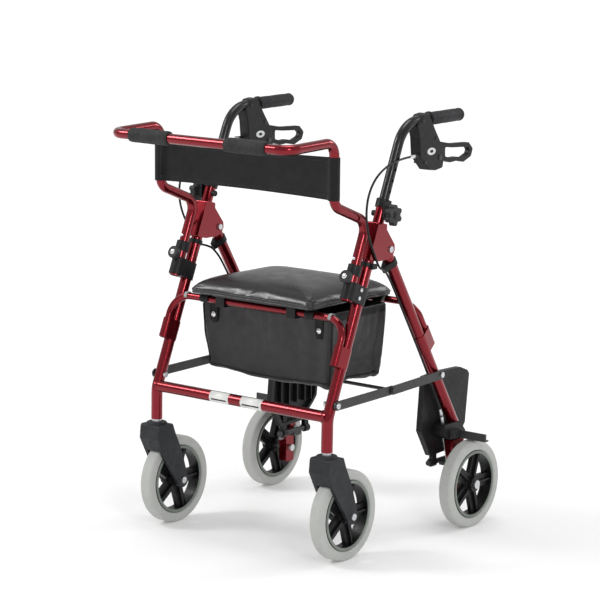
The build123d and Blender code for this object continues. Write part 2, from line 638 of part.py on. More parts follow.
with BuildPart() as backrest_frame:
    pipe(BACKREST_ROUTE, [28.0, 28.0, 30.0, 30.0], POST_D, POST_BORE)
    inner = post_front(BUTTON_Z, 4.0)
    outer = post_front(BUTTON_Z, POST_D / 2 + 2.0)
    rod((LEG_X, inner[0], inner[1]), (LEG_X, outer[0], outer[1]), BUTTON_D + 0.3, mode=Mode.SUBTRACT)
    mirror(about=Plane.YZ)
save(backrest_frame.part, "backrest_frame")

with BuildPart() as backrest_band:
    block((-LEG_X, POST_Y - 3.0, BAND_LOW_Z), (LEG_X, POST_Y + 4.0, BAND_HIGH_Z))
    for side, sign in SIDES:
        rod((sign * LEG_X, POST_Y + 1.8, BAND_LOW_Z), (sign * LEG_X, POST_Y + 0.4, BAND_HIGH_Z),
            POST_D + 5.0)
        rod((sign * LEG_X, POST_Y + 2.2, 762.0), (sign * LEG_X, POST_Y, 911.0), POST_D,
            mode=Mode.SUBTRACT)
save(backrest_band.part, "backrest_band")

with BuildPart() as push_grips:
    for side, sign in SIDES:
        rod((sign * 78, PUSH_BAR_Y, PUSH_BAR_Z), (sign * 188, PUSH_BAR_Y, PUSH_BAR_Z), PUSH_GRIP_D,
            POST_D)
save(push_grips.part, "push_grips")

for side, sign in SIDES:
    x = sign * LEG_X
    with BuildPart() as snap_button:
        near = post_front(BUTTON_Z, POST_D / 2 - 4.5)
        far = post_front(BUTTON_Z, POST_D / 2 + 5.0)
        rod((x, near[0], near[1]), (x, far[0], far[1]), BUTTON_D)
        fillet(snap_button.edges().filter_by(GeomType.CIRCLE).sort_by(Axis.Y)[0], radius=2.5)
    save(snap_button.part, f"snap_button_{side}")
    with BuildPart() as backrest_knob:
        near = post_front(598, TUBE / 2 + 0.1)
        middle = post_front(598, 17.5)
        far = post_front(598, 29.0)
        rod((x, near[0], near[1]), (x, middle[0], middle[1]), 12.0)
        rod((x, middle[0], middle[1]), (x, far[0], far[1]), 28.0)
        fillet(backrest_knob.edges().filter_by(GeomType.CIRCLE).sort_by(Axis.Y)[0], radius=2.5)
    save(backrest_knob.part, f"backrest_knob_{side}")
    with BuildPart() as height_knob:
        rod((sign * 261.2, KNOB_Y, KNOB_Z), (sign * 269.5, KNOB_Y, KNOB_Z), 17.0)
        rod((sign * 253.6, KNOB_Y, KNOB_Z), (sign * 261.2, KNOB_Y, KNOB_Z), 7.9)
        with BuildSketch(Plane(origin=(sign * 269.5, KNOB_Y, KNOB_Z), z_dir=(sign, 0, 0))) as star:
            Circle(17)
            with PolarLocations(17, 6):
                Circle(6.2)
        extrude(star.sketch, amount=14)
    save(height_knob.part, f"height_knob_{side}")

# ---------------------------------------------------------------- handles

HANDLE_FOOT = on_leg(600)
CORNER_Y = on_leg(HANDLE_LEVEL_Z)[0]
HOUSING = [(79, 928), (88, 900), (93, 858), (126, 827), (152, 824), (179, 828), (183, 851),
           (169, 886), (146, 917), (122, 953), (100, 950)]
LEVER_OUTER = [(174, 886), (221, 878), (288, 876), (305, 861), (298, 844), (269, 833), (241, 838),
               (216, 836), (176, 846), (158, 858), (158, 876)]
LEVER_INNER = [(196, 872), (222, 869), (284, 866), (293, 859), (289, 851), (267, 843), (242, 847),
               (217, 846), (197, 851)]
GRIP_START_Y = 137.0


def level_point(y):
    """(Y, Z) on the level part of the handle tube's axis."""
    rise = (HANDLE_END_Z - HANDLE_LEVEL_Z) / (HANDLE_END_Y - CORNER_Y)
    return (y, HANDLE_LEVEL_Z + rise * (y - CORNER_Y))


def handle_path(x):
    """Corners of a handle tube's axis."""
    return [(x, HANDLE_FOOT[0], HANDLE_FOOT[1]), (x, CORNER_Y, HANDLE_LEVEL_Z),
            (x, HANDLE_END_Y, HANDLE_END_Z)]


for side, sign in SIDES:
    x = sign * LEG_X
    with BuildPart() as handle_tube:
        pipe(handle_path(x), 75.0, HANDLE_TUBE_D, 18.6)
        for step in range(-4, 6):
            y, z = on_leg(LEG_TOP_Z - 12.0 + 23.0 * step)
            rod((x - 20, y, z), (x + 20, y, z), 7.0, mode=Mode.SUBTRACT)
    save(handle_tube.part, f"handle_tube_{side}")
    with BuildPart() as hand_grip:
        start = level_point(GRIP_START_Y)
        mid = level_point(GRIP_START_Y + 6)
        tail = level_point(HANDLE_END_Y)
        cap = level_point(HANDLE_END_Y + 6.5)
        rod((x, start[0], start[1]), (x, mid[0], mid[1]), 33.0, HANDLE_TUBE_D)
        rod((x, mid[0], mid[1]), (x, tail[0], tail[1]), 29.0, HANDLE_TUBE_D)
        rod((x, tail[0], tail[1]), (x, cap[0], cap[1]), 30.0)
        fillet(hand_grip.edges().filter_by(GeomType.CIRCLE).sort_by(Axis.Y)[-1], radius=5.0)
    save(hand_grip.part, f"hand_grip_{side}")
    with BuildPart() as brake_housing:
        side_plate(HOUSING, x - 14, x + 14, 6.0)
        fillet(brake_housing.faces().filter_by(Axis.X).edges(), radius=3.0)
        pipe(handle_path(x), 75.0, HANDLE_TUBE_D, mode=Mode.SUBTRACT)
        block((x - 7.5, 149, 820), (x + 7.5, 200, 905), mode=Mode.SUBTRACT)
        rod((x - 7.5, LEVER_Y, LEVER_Z), (x + 7.5, LEVER_Y, LEVER_Z), 7.9)
        near = level_point(GRIP_START_Y - 0.2)
        far = level_point(GRIP_START_Y + 20)
        rod((x, near[0], near[1]), (x, far[0], far[1]), 33.4, mode=Mode.SUBTRACT)
        rod((sign * 249, 94, 861), (sign * 249, 78, 861), 9.0)
    save(brake_housing.part, f"brake_housing_{side}")
    with BuildPart() as brake_lever:
        side_plate(LEVER_OUTER, x - 6.5, x + 6.5, 6.0)
        side_plate(LEVER_INNER, x - 7, x + 7, 4.0, mode=Mode.SUBTRACT)
        rod((x - 7.2, LEVER_Y, LEVER_Z), (x + 7.2, LEVER_Y, LEVER_Z), 16.0)
        rod((x - 10, LEVER_Y, LEVER_Z), (x + 10, LEVER_Y, LEVER_Z), 8.0, mode=Mode.SUBTRACT)
    save(brake_lever.part, f"brake_lever_{side}")

# ---------------------------------------------------------------- brake cables

for side, sign in SIDES:
    for name, route in (("upper_cable", UPPER_CABLE), ("lower_cable", LOWER_CABLE)):
        with BuildPart() as cable:
            cable_pipe(route, sign, CABLE_D)
        print(name, side, "radii", [round(r) for r in arc_radii(route)])
        save(cable.part, f"{name}_{side}")
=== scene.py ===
import json
import math

import bmesh
import bpy
from mathutils import Matrix, Vector, noise
from mathutils.bvhtree import BVHTree


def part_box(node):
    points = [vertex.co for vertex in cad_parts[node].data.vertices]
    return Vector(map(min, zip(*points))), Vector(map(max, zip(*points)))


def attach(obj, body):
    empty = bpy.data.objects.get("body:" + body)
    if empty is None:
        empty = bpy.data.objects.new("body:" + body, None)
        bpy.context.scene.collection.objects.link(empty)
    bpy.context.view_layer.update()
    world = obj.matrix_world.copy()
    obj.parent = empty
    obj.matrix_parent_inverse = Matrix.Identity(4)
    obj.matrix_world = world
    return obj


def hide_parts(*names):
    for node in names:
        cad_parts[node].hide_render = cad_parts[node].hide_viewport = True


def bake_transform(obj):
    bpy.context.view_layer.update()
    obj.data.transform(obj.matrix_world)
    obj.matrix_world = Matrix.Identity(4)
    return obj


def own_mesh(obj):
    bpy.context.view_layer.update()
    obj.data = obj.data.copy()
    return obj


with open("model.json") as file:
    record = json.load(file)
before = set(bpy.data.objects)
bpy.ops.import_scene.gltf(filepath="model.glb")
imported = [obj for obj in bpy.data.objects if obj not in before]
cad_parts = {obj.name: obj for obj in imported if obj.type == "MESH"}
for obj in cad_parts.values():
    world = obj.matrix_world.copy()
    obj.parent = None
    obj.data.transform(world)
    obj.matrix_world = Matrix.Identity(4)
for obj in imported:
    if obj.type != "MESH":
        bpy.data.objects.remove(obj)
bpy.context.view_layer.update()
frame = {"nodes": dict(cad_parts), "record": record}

# The looks of a folding four-wheeled walker, in metres. +Y is the end the user walks at.

NODES = frame["nodes"]
SIDES = (("right", 1), ("left", -1))

# Driving dimensions, the same as the frame's
LEAN = math.radians(22.2)
SPLAY = math.radians(33.0)
LEG_X = 0.242
TUBE_R = 0.0127
BEND_Y = -0.205
BEND_Z = 0.321
CROSSBAR_Z = 0.325
PIVOT_Y = -0.013
PIVOT_Z = 0.667
REAR_WHEEL_X = 0.288
REAR_AXLE_Y = 0.270
CASTER_AXLE_Y = -0.144
AXLE_Z = 0.100
SEAT_TUBE_Y = -0.1465
SEAT_TUBE_Z = 0.527
REAR_TUBE_Y = 0.1025
REAR_TUBE_Z = 0.5326
SEAT_TUBE_R = 0.008
POST_Y = -0.1985
POST_OUT = 0.04
PUSH_BAR = Vector((0.0, -0.354, 0.905))


def on_leg(z, front=0.0):
    """(Y, Z) on the front leg's axis at height z, moved square to it towards the front."""
    y = BEND_Y + (z - BEND_Z) * math.tan(LEAN)
    return y - front * math.cos(LEAN), z + front * math.sin(LEAN)


def on_rear(z, behind=0.0):
    """(Y, Z) on the rear leg's axis at height z, moved square to it towards the rear."""
    y = PIVOT_Y + (PIVOT_Z - z) * math.tan(SPLAY)
    return y + behind * math.cos(SPLAY), z + behind * math.sin(SPLAY)


# ---------------------------------------------------------------- camera

CAMERA_AZIMUTH = math.radians(38.15)
CAMERA_ELEVATION = math.radians(9.93)
CAMERA_ROLL = math.radians(0.97)
CAMERA_DISTANCE = 5.39
CAMERA_TARGET = Vector((0.0013, 0.0, 0.5232))
CAMERA_LENS = 144.6


def make_camera():
    """A long lens at the product shot's angle."""
    back = Vector((
        math.sin(CAMERA_AZIMUTH) * math.cos(CAMERA_ELEVATION),
        -math.cos(CAMERA_AZIMUTH) * math.cos(CAMERA_ELEVATION),
        math.sin(CAMERA_ELEVATION),
    ))
    level = Vector((math.cos(CAMERA_AZIMUTH), math.sin(CAMERA_AZIMUTH), 0.0))
    upright = back.cross(level)
    right = level * math.cos(CAMERA_ROLL) + upright * math.sin(CAMERA_ROLL)
    up = upright * math.cos(CAMERA_ROLL) - level * math.sin(CAMERA_ROLL)
    data = bpy.data.cameras.new("camera")
    data.sensor_width = 36.0
    data.lens = CAMERA_LENS
    camera = bpy.data.objects.new("camera", data)
    place = Matrix((right, up, back)).transposed().to_4x4()
    place.translation = CAMERA_TARGET + back * CAMERA_DISTANCE
    camera.matrix_world = place
    bpy.context.scene.collection.objects.link(camera)
    bpy.context.scene.camera = camera


make_camera()

# ---------------------------------------------------------------- finishes


class Finish:
    """One procedural material, built up in layers over the object's own coordinates."""

    def __init__(self, name, colour, roughness, metallic=0.0, **constants):
        self.material = bpy.data.materials.new(name)
        self.material.use_nodes = True
        self.tree = self.material.node_tree
        self.shader = self.tree.nodes["Principled BSDF"]
        self.shader.inputs["Base Color"].default_value = (*colour, 1.0)
        self.shader.inputs["Roughness"].default_value = roughness
        self.shader.inputs["Metallic"].default_value = metallic
        for socket, value in constants.items():
            self.shader.inputs[socket.replace("_", " ")].default_value = value
        self.place = self.tree.nodes.new("ShaderNodeTexCoord").outputs["Object"]
        self.paint = None
        self.colour = (*colour, 1.0)
        self.normal = None

    def node(self, kind, settings=(), **inputs):
        """Add a node, with its settings and with values or links on its sockets."""
        made = self.tree.nodes.new(kind)
        for key, value in settings:
            setattr(made, key, value)
        for socket, value in inputs.items():
            target = made.inputs[socket.replace("_", " ")]
            if isinstance(value, bpy.types.NodeSocket):
                self.tree.links.new(value, target)
            else:
                target.default_value = value
        return made

    def noise(self, scale, detail=3.0, stretch=None):
        """Cloudy pattern, with scale in cycles per metre."""
        place = self.place
        if stretch:
            place = self.node("ShaderNodeMapping", Vector=place, Scale=stretch).outputs["Vector"]
        return self.node("ShaderNodeTexNoise", Vector=place, Scale=scale, Detail=detail).outputs["Fac"]

    def cells(self, scale, edges=False):
        """Cell pattern: distance to the nearest point, or to the cell's edge."""
        feature = "DISTANCE_TO_EDGE" if edges else "F1"
        made = self.node("ShaderNodeTexVoronoi", [("feature", feature)], Vector=self.place, Scale=scale)
        return made.outputs["Distance"]

    def weave(self, pitch):
        """Crossed threads along the three axes, one thread per pitch."""
        total = None
        for axis in "XYZ":
            band = self.node("ShaderNodeTexWave", [("bands_direction", axis)],
                             Vector=self.place, Scale=0.314 / pitch).outputs["Fac"]
            total = band if total is None else self.maths("ADD", total, band)
        return total

    def maths(self, operation, first, second):
        """Plain arithmetic between a socket and a socket or number."""
        made = self.tree.nodes.new("ShaderNodeMath")
        made.operation = operation
        for target, value in zip(made.inputs, (first, second)):
            if isinstance(value, bpy.types.NodeSocket):
                self.tree.links.new(value, target)
            else:
                target.default_value = value
        return made.outputs[0]

    def ramp(self, value, low, high, to_low=0.0, to_high=1.0):
        """Map a range of a socket onto another range, clamped."""
        made = self.node("ShaderNodeMapRange", Value=value, From_Min=low, From_Max=high,
                         To_Min=to_low, To_Max=to_high)
        return made.outputs["Result"]

    def mix_colour(self, share, other):
        """Lay another colour over the paint so far, by a share from 0 to 1."""
        made = self.tree.nodes.new("ShaderNodeMix")
        made.data_type = "RGBA"
        self.tree.links.new(share, made.inputs[0])
        if self.paint:
            self.tree.links.new(self.paint, made.inputs[6])
        else:
            made.inputs[6].default_value = self.colour
        made.inputs[7].default_value = (*other, 1.0)
        self.paint = made.outputs[2]
        self.tree.links.new(self.paint, self.shader.inputs["Base Color"])
        return self

    def roughness(self, value, low, high):
        """Let the roughness follow a pattern."""
        self.tree.links.new(self.ramp(value, 0.3, 0.7, low, high), self.shader.inputs["Roughness"])
        return self

    def bump(self, height, strength, depth):
        """Add relief, with its depth in metres, on top of what is there."""
        made = self.node("ShaderNodeBump", Height=height, Strength=strength, Distance=depth)
        if self.normal:
            self.tree.links.new(self.normal, made.inputs["Normal"])
        self.normal = made.outputs["Normal"]
        self.tree.links.new(self.normal, self.shader.inputs["Normal"])
        return self

    def wear(self, other, width=0.0012, amount=0.8):
        """Rub the paint along the edges, broken up by a pattern."""
        rounded = self.node("ShaderNodeBevel", [("samples", 4)], Radius=width).outputs["Normal"]
        flat = self.tree.nodes.new("ShaderNodeNewGeometry").outputs["Normal"]
        dot = self.tree.nodes.new("ShaderNodeVectorMath")
        dot.operation = "DOT_PRODUCT"
        self.tree.links.new(rounded, dot.inputs[0])
        self.tree.links.new(flat, dot.inputs[1])
        edge = self.ramp(dot.outputs["Value"], 0.98, 0.80)
        patchy = self.ramp(self.noise(90.0, 4.0), 0.42, 0.62, 0.0, amount)
        return self.mix_colour(self.maths("MULTIPLY", edge, patchy), other)


def red_lacquer():
    made = Finish("red_lacquer", (0.20, 0.0015, 0.008), 0.20, 0.85, Coat_Weight=0.45, Coat_Roughness=0.03)
    made.mix_colour(made.ramp(made.cells(2600.0), 0.05, 0.55, 0.20, 0.0), (0.40, 0.010, 0.024))
    made.mix_colour(made.ramp(made.noise(9.0), 0.35, 0.75, 0.0, 0.30), (0.13, 0.001, 0.006))
    made.roughness(made.noise(45.0), 0.15, 0.25)
    made.bump(made.noise(260.0, 2.0), 0.10, 0.0002)
    return made.wear((0.16, 0.004, 0.01), 0.0009, 0.5).material


def tyre_rubber():
    made = Finish("tyre_rubber", (0.46, 0.47, 0.45), 0.62)
    made.mix_colour(made.ramp(made.noise(26.0, 5.0), 0.42, 0.72, 0.0, 0.35), (0.36, 0.365, 0.35))
    made.mix_colour(made.ramp(made.noise(420.0, 2.0), 0.52, 0.74, 0.0, 0.25), (0.30, 0.30, 0.29))
    made.roughness(made.noise(60.0), 0.52, 0.74)
    return made.bump(made.noise(900.0, 3.0), 0.18, 0.0003).material


def moulded(name, colour, roughness, grain=1400.0, depth=0.00025, rubbed=None):
    """Moulded plastic with a fine spark-eroded grain."""
    made = Finish(name, colour, roughness, 0.0, Specular_IOR_Level=0.25)
    lighter = tuple(min(1.0, value * 1.7 + 0.006) for value in colour)
    made.mix_colour(made.ramp(made.noise(30.0, 5.0), 0.45, 0.75, 0.0, 0.5), lighter)
    made.roughness(made.noise(70.0), roughness - 0.07, roughness + 0.09)
    made.bump(made.noise(grain, 2.0), 0.35, depth)
    if rubbed:
        made.wear(rubbed)
    return made.material


def powder_coat(name, colour, roughness=0.42):
    """Powder coat with orange peel and rubbed edges."""
    made = Finish(name, colour, roughness, Specular_IOR_Level=0.35, Coat_Weight=0.15, Coat_Roughness=0.2)
    made.mix_colour(made.ramp(made.noise(18.0, 4.0), 0.4, 0.75, 0.0, 0.5), tuple(2.0 * c for c in colour))
    made.roughness(made.noise(80.0), roughness - 0.1, roughness + 0.08)
    made.bump(made.noise(700.0, 2.0), 0.22, 0.0003)
    return made.wear((0.12, 0.12, 0.125), 0.0007, 0.6).material


def bright_metal(name, colour, roughness):
    """Plated steel with fine turning marks."""
    made = Finish(name, colour, roughness, 1.0)
    made.mix_colour(made.ramp(made.noise(120.0, 5.0), 0.5, 0.75, 0.0, 0.45), tuple(0.6 * c for c in colour))
    made.roughness(made.noise(260.0), roughness - 0.06, roughness + 0.16)
    return made.bump(made.noise(900.0, 2.0, (1.0, 12.0, 12.0)), 0.12, 0.0002).material


def vinyl():
    made = Finish("black_vinyl", (0.007, 0.007, 0.009), 0.30, 0.0, Specular_IOR_Level=0.60)
    made.mix_colour(made.ramp(made.noise(14.0, 4.0), 0.4, 0.75, 0.0, 0.6), (0.012, 0.012, 0.014))
    made.roughness(made.noise(34.0, 4.0), 0.25, 0.36)
    made.bump(made.noise(30.0, 3.0), 0.05, 0.0012)
    return made.bump(made.cells(620.0, True), 0.22, 0.0003).material


def coated_nylon(name, colour, roughness, pitch=0.0009, shine=0.22):
    """Woven cloth with a coating: threads, slubs and creases."""
    made = Finish(name, colour, roughness, Specular_IOR_Level=shine, Sheen_Weight=0.05, Sheen_Roughness=0.4)
    made.mix_colour(made.ramp(made.noise(22.0, 4.0), 0.4, 0.7, 0.0, 0.7), tuple(2.1 * c for c in colour))
    made.mix_colour(made.ramp(made.weave(pitch), 0.6, 2.2, 0.0, 0.35), tuple(0.4 * c for c in colour))
    made.roughness(made.noise(50.0), roughness - 0.08, roughness + 0.1)
    made.bump(made.noise(38.0, 4.0), 0.22, 0.002)
    return made.bump(made.weave(pitch), 0.30, 0.0002).material


def foam():
    made = Finish("black_foam", (0.020, 0.020, 0.021), 0.72, 0.0, Specular_IOR_Level=0.30)
    made.mix_colour(made.ramp(made.noise(40.0, 5.0), 0.4, 0.7, 0.0, 0.8), (0.035, 0.035, 0.037))
    made.roughness(made.noise(120.0), 0.62, 0.85)
    made.bump(made.cells(1500.0), 0.35, 0.0004)
    return made.bump(made.noise(160.0, 4.0), 0.25, 0.0008).material


def printed_label():
    made = Finish("blank_label", (0.78, 0.78, 0.76), 0.38, 0.0, Coat_Weight=0.4)
    made.mix_colour(made.ramp(made.noise(60.0, 4.0), 0.5, 0.8, 0.0, 0.35), (0.60, 0.60, 0.57))
    made.roughness(made.noise(90.0), 0.30, 0.48)
    return made.bump(made.noise(300.0), 0.08, 0.0002).material


RED = red_lacquer()
TYRE = tyre_rubber()
RIM_BLACK = moulded("rim_plastic", (0.006, 0.006, 0.007), 0.38, rubbed=(0.035, 0.035, 0.037))
RIM_RING = moulded("rim_ring_plastic", (0.17, 0.19, 0.17), 0.45)
FORK = moulded("fork_plastic", (0.020, 0.021, 0.024), 0.52, 1100.0, 0.0004, (0.09, 0.09, 0.095))
BLACK_PLASTIC = moulded("black_plastic", (0.007, 0.007, 0.008), 0.42, rubbed=(0.035, 0.035, 0.037))
KNOB_PLASTIC = moulded("knob_plastic", (0.026, 0.026, 0.028), 0.46, rubbed=(0.08, 0.08, 0.083))
GRIP_RUBBER = moulded("grip_rubber", (0.018, 0.018, 0.020), 0.58, 800.0, 0.0006)
CABLE_JACKET = moulded("cable_jacket", (0.007, 0.007, 0.008), 0.34, 900.0, 0.0001)
BLACK_TUBE = powder_coat("black_tube", (0.005, 0.005, 0.006), 0.30)
BLACK_STEEL = powder_coat("black_steel", (0.022, 0.022, 0.024), 0.46)
ZINC = bright_metal("zinc_steel", (0.60, 0.61, 0.63), 0.30)
CHROME = bright_metal("chrome", (0.78, 0.78, 0.80), 0.14)
VINYL = vinyl()
NYLON = coated_nylon("black_nylon", (0.009, 0.009, 0.010), 0.42, 0.0009, 0.5)
WEBBING = coated_nylon("black_webbing", (0.009, 0.009, 0.010), 0.60, 0.0016)
BAND_CLOTH = coated_nylon("band_cloth", (0.005, 0.005, 0.006), 0.50, 0.0007)
THREAD = coated_nylon("thread", (0.045, 0.045, 0.048), 0.55, 0.0004)
FOAM = foam()
LABEL = printed_label()
CLIP_GREY = moulded("clip_plastic", (0.30, 0.31, 0.31), 0.40)
BADGE_WHITE = moulded("badge_white", (0.62, 0.63, 0.63), 0.36)

SLOT_FINISH = {
    "red_frame": RED, "tyre": TYRE, "wheel_plastic": RIM_BLACK, "fork_plastic": FORK,
    "zinc_steel": ZINC, "black_tube": BLACK_TUBE, "grip_rubber": GRIP_RUBBER,
    "black_plastic": BLACK_PLASTIC, "chrome": CHROME, "cable_jacket": CABLE_JACKET,
    "black_steel": BLACK_STEEL, "vinyl": VINYL, "nylon": NYLON, "foam": FOAM,
}


def finish_frame():
    """Give every CAD node the procedural finish of its material slot."""
    for subpart in frame["record"]["subparts"]:
        piece = NODES[subpart["node"]]
        chosen = SLOT_FINISH[subpart["material_slot"]]
        if "knob" in subpart["node"]:
            chosen = KNOB_PLASTIC
        piece.data.materials.clear()
        piece.data.materials.append(chosen)


finish_frame()

# ---------------------------------------------------------------- mesh tools


def piece_of(name, mesh, finish):
    """An object in the scene for a mesh, with its finish."""
    mesh.name = name
    mesh.materials.clear()
    mesh.materials.append(finish)
    for face in mesh.polygons:
        face.use_smooth = True
        face.material_index = 0
    piece = bpy.data.objects.new(name, mesh)
    bpy.context.scene.collection.objects.link(piece)
    return piece


def baked(piece):
    """Replace a piece's mesh with what its modifiers make of it."""
    graph = bpy.context.evaluated_depsgraph_get()
    mesh = bpy.data.meshes.new_from_object(piece.evaluated_get(graph))
    piece.modifiers.clear()
    piece.data = mesh
    return piece


def joined(meshes):
    """One mesh from several, which stay as they are."""
    whole = bmesh.new()
    for mesh in meshes:
        whole.from_mesh(mesh)
    mesh = bpy.data.meshes.new("joined")
    whole.to_mesh(mesh)
    whole.free()
    return mesh


def loft(rings, caps=(True, True)):
    """A skin over closed rings of points, with a fan over each capped end."""
    work = bmesh.new()
    rows = [[work.verts.new(point) for point in ring] for ring in rings]
    count = len(rows[0])
    for lower, upper in zip(rows, rows[1:]):
        for i in range(count):
            j = (i + 1) % count
            work.faces.new((lower[i], lower[j], upper[j], upper[i]))
    for row, capped in ((rows[0], caps[0]), (rows[-1], caps[1])):
        if capped:
            middle = work.verts.new(sum((v.co for v in row), Vector()) / count)
            for i in range(count):
                work.faces.new((row[i], row[(i + 1) % count], middle))
    bmesh.ops.recalc_face_normals(work, faces=work.faces)
    mesh = bpy.data.meshes.new("loft")
    work.to_mesh(mesh)
    work.free()
    return mesh


def frame_along(direction):
    """Two unit vectors square to a direction."""
    direction = Vector(direction).normalized()
    helper = Vector((0, 0, 1)) if abs(direction.z) < 0.9 else Vector((1, 0, 0))
    side = direction.cross(helper).normalized()
    return side, direction.cross(side)


def lathe(origin, direction, profile, steps=40):
    """A turned shape: profile is (distance along the axis, radius) from end to end."""
    direction = Vector(direction).normalized()
    side, other = frame_along(direction)
    rings = []
    for along, radius in profile:
        centre = Vector(origin) + direction * along
        rings.append([
            centre + radius * (math.cos(a) * side + math.sin(a) * other)
            for a in (2 * math.pi * k / steps for k in range(steps))
        ])
    return loft(rings)


def wire(points, radius, closed=False):
    """A round wire along a smooth spline, as a mesh."""
    curve = bpy.data.curves.new("wire", "CURVE")
    curve.dimensions = "3D"
    curve.bevel_depth = radius
    curve.bevel_resolution = 3
    curve.resolution_u = 8
    curve.use_fill_caps = not closed
    spline = curve.splines.new("NURBS")
    spline.points.add(len(points) - 1)
    for place, point in zip(spline.points, points):
        place.co = (*point, 1.0)
    spline.use_cyclic_u = closed
    spline.order_u = 3
    spline.use_endpoint_u = not closed
    holder = bpy.data.objects.new("wire", curve)
    bpy.context.scene.collection.objects.link(holder)
    graph = bpy.context.evaluated_depsgraph_get()
    mesh = bpy.data.meshes.new_from_object(holder.evaluated_get(graph))
    bpy.data.objects.remove(holder)
    bpy.data.curves.remove(curve)
    return mesh


ARC_STEPS = 6


def rounded_outline(half_x, half_y, corner, side_steps):
    """(X, Y) points round a rectangle with rounded corners, about its middle."""
    corners = ((1, 1, 0), (-1, 1, 90), (-1, -1, 180), (1, -1, 270))
    arcs = []
    for sign_x, sign_y, start in corners:
        middle = (sign_x * (half_x - corner), sign_y * (half_y - corner))
        angles = [math.radians(start + 90 * k / ARC_STEPS) for k in range(ARC_STEPS + 1)]
        arcs.append([(middle[0] + corner * math.cos(a), middle[1] + corner * math.sin(a)) for a in angles])
    points = []
    for arc, following in zip(arcs, arcs[1:] + arcs[:1]):
        points += arc
        start, end = Vector(arc[-1]), Vector(following[0])
        points += [tuple(start.lerp(end, k / side_steps)) for k in range(1, side_steps)]
    return points


SWELL_FRAMES = 20


def swell(piece, voxel, pressure, most):
    """Remesh a closed piece and puff it by cloth simulation, moving no point further than most."""
    remesh = piece.modifiers.new("remesh", "REMESH")
    remesh.mode = "VOXEL"
    remesh.voxel_size = voxel
    baked(piece)
    start = [v.co.copy() for v in piece.data.vertices]
    cloth = piece.modifiers.new("cloth", "CLOTH")
    cloth.settings.quality = 4
    cloth.settings.use_pressure = True
    cloth.settings.uniform_pressure_force = pressure
    cloth.settings.effector_weights.gravity = 0.0
    cloth.point_cache.frame_end = SWELL_FRAMES
    settle(piece, start, most, SWELL_FRAMES)


def settle(piece, start, most, frames):
    """Run a piece's cloth to its last frame and keep the result, each point's travel capped."""
    scene = bpy.context.scene
    for step in range(1, frames + 1):
        scene.frame_set(step)
    graph = bpy.context.evaluated_depsgraph_get()
    moved = [v.co.copy() for v in piece.evaluated_get(graph).data.vertices]
    piece.modifiers.clear()
    for vertex, before, after in zip(piece.data.vertices, start, moved):
        travel = after - before
        if travel.length > most:
            travel *= most / travel.length
        vertex.co = before + travel
    scene.frame_set(1)


def smooth_once(piece):
    """Round a piece off by subdivision."""
    rounding = piece.modifiers.new("rounding", "SUBSURF")
    rounding.levels = 1
    rounding.render_levels = 1
    return baked(piece)


def surface_of(piece):
    """A search tree over a piece's mesh."""
    mesh = piece.data
    return BVHTree.FromPolygons([v.co for v in mesh.vertices], [p.vertices for p in mesh.polygons])


def stitches(points, normals, pitch, length, radius):
    """A row of short raised threads along a line of points."""
    made = []
    travelled = 0.0
    for before, after, normal in zip(points, points[1:], normals):
        run = after - before
        while travelled < run.length:
            start = before + run * (travelled / run.length) + normal * radius * 0.4
            direction = run.normalized()
            side, other = direction.cross(normal).normalized(), normal
            rings = []
            for share, size in ((0.0, 0.3), (0.2, 0.95), (0.5, 1.0), (0.8, 0.95), (1.0, 0.3)):
                centre = start + direction * length * share
                rings.append([centre + radius * size * (math.cos(a) * side + math.sin(a) * other)
                              for a in (math.pi * k / 3 for k in range(6))])
            made.append(loft(rings))
            travelled += pitch
        travelled -= run.length
    return joined(made)


# ---------------------------------------------------------------- brake cables

UPPER_CABLE = (
    (0.2490, 0.0775, 0.861), (0.2540, 0.044, 0.861), (0.2575, 0.006, 0.858), (0.2590, -0.036, 0.849),
    (0.2605, -0.075, 0.829), (0.2620, -0.101, 0.799), (0.2630, -0.111, 0.765), (0.2632, -0.109, 0.731),
    (0.2620, -0.097, 0.698), (0.2602, -0.0785, 0.669), (0.2602, -0.066, 0.647),
)
RUN_TOP = on_rear(0.590, -0.0185)
RUN_LOW = on_rear(0.318, -0.0185)
LOWER_CABLE = (
    (0.2602, -0.0657, 0.6462), (0.2595, -0.057, 0.634), (0.2560, -0.042, 0.6265),
    (0.2505, -0.025, 0.622), (0.2455, -0.010, 0.6145), (0.2420, RUN_TOP[0], RUN_TOP[1]),
    (0.2420, RUN_LOW[0], RUN_LOW[1]), (0.2420, 0.2196, 0.2584),
)
CABLE_R = 0.0025


def make_cables():
    """Each side's brake cable in an upper and a lower stretch, with an adjuster on the handle and a ferrule
    on the rear frame.
    """
    for side, sign in SIDES:
        upper = [(sign * x, y, z) for x, y, z in UPPER_CABLE]
        lower = [(sign * x, y, z) for x, y, z in LOWER_CABLE]
        piece = piece_of(f"brake_cable_upper_{side}", wire(upper, CABLE_R), CABLE_JACKET)
        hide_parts(f"upper_cable_{side}")
        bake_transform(piece)
        piece = piece_of(f"brake_cable_lower_{side}", wire(lower, CABLE_R), CABLE_JACKET)
        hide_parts(f"lower_cable_{side}")
        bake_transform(piece)
        ferrule = [(-0.001, 0.0030), (0.0, 0.0041), (0.009, 0.0041), (0.012, 0.0034), (0.018, 0.0030)]
        low_end, before = Vector(lower[-1]), Vector(lower[-2])
        piece = piece_of(f"cable_ferrule_{side}", lathe(low_end, before - low_end, ferrule), ZINC)
        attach(piece, "rear_frame")
        barrel = [(-0.004, 0.0030), (-0.003, 0.0048)]
        barrel += [(0.0012 * k, 0.0048 if k % 2 else 0.0043) for k in range(9)]
        barrel += [(0.0110, 0.0048), (0.0125, 0.0036), (0.0190, 0.0032), (0.0195, 0.0027)]
        start, following = Vector(upper[0]), Vector(upper[1])
        piece = piece_of(f"cable_adjuster_{side}", lathe(start, following - start, barrel), CHROME)
        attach(piece, f"handle_{side}")


make_cables()

# ---------------------------------------------------------------- seat

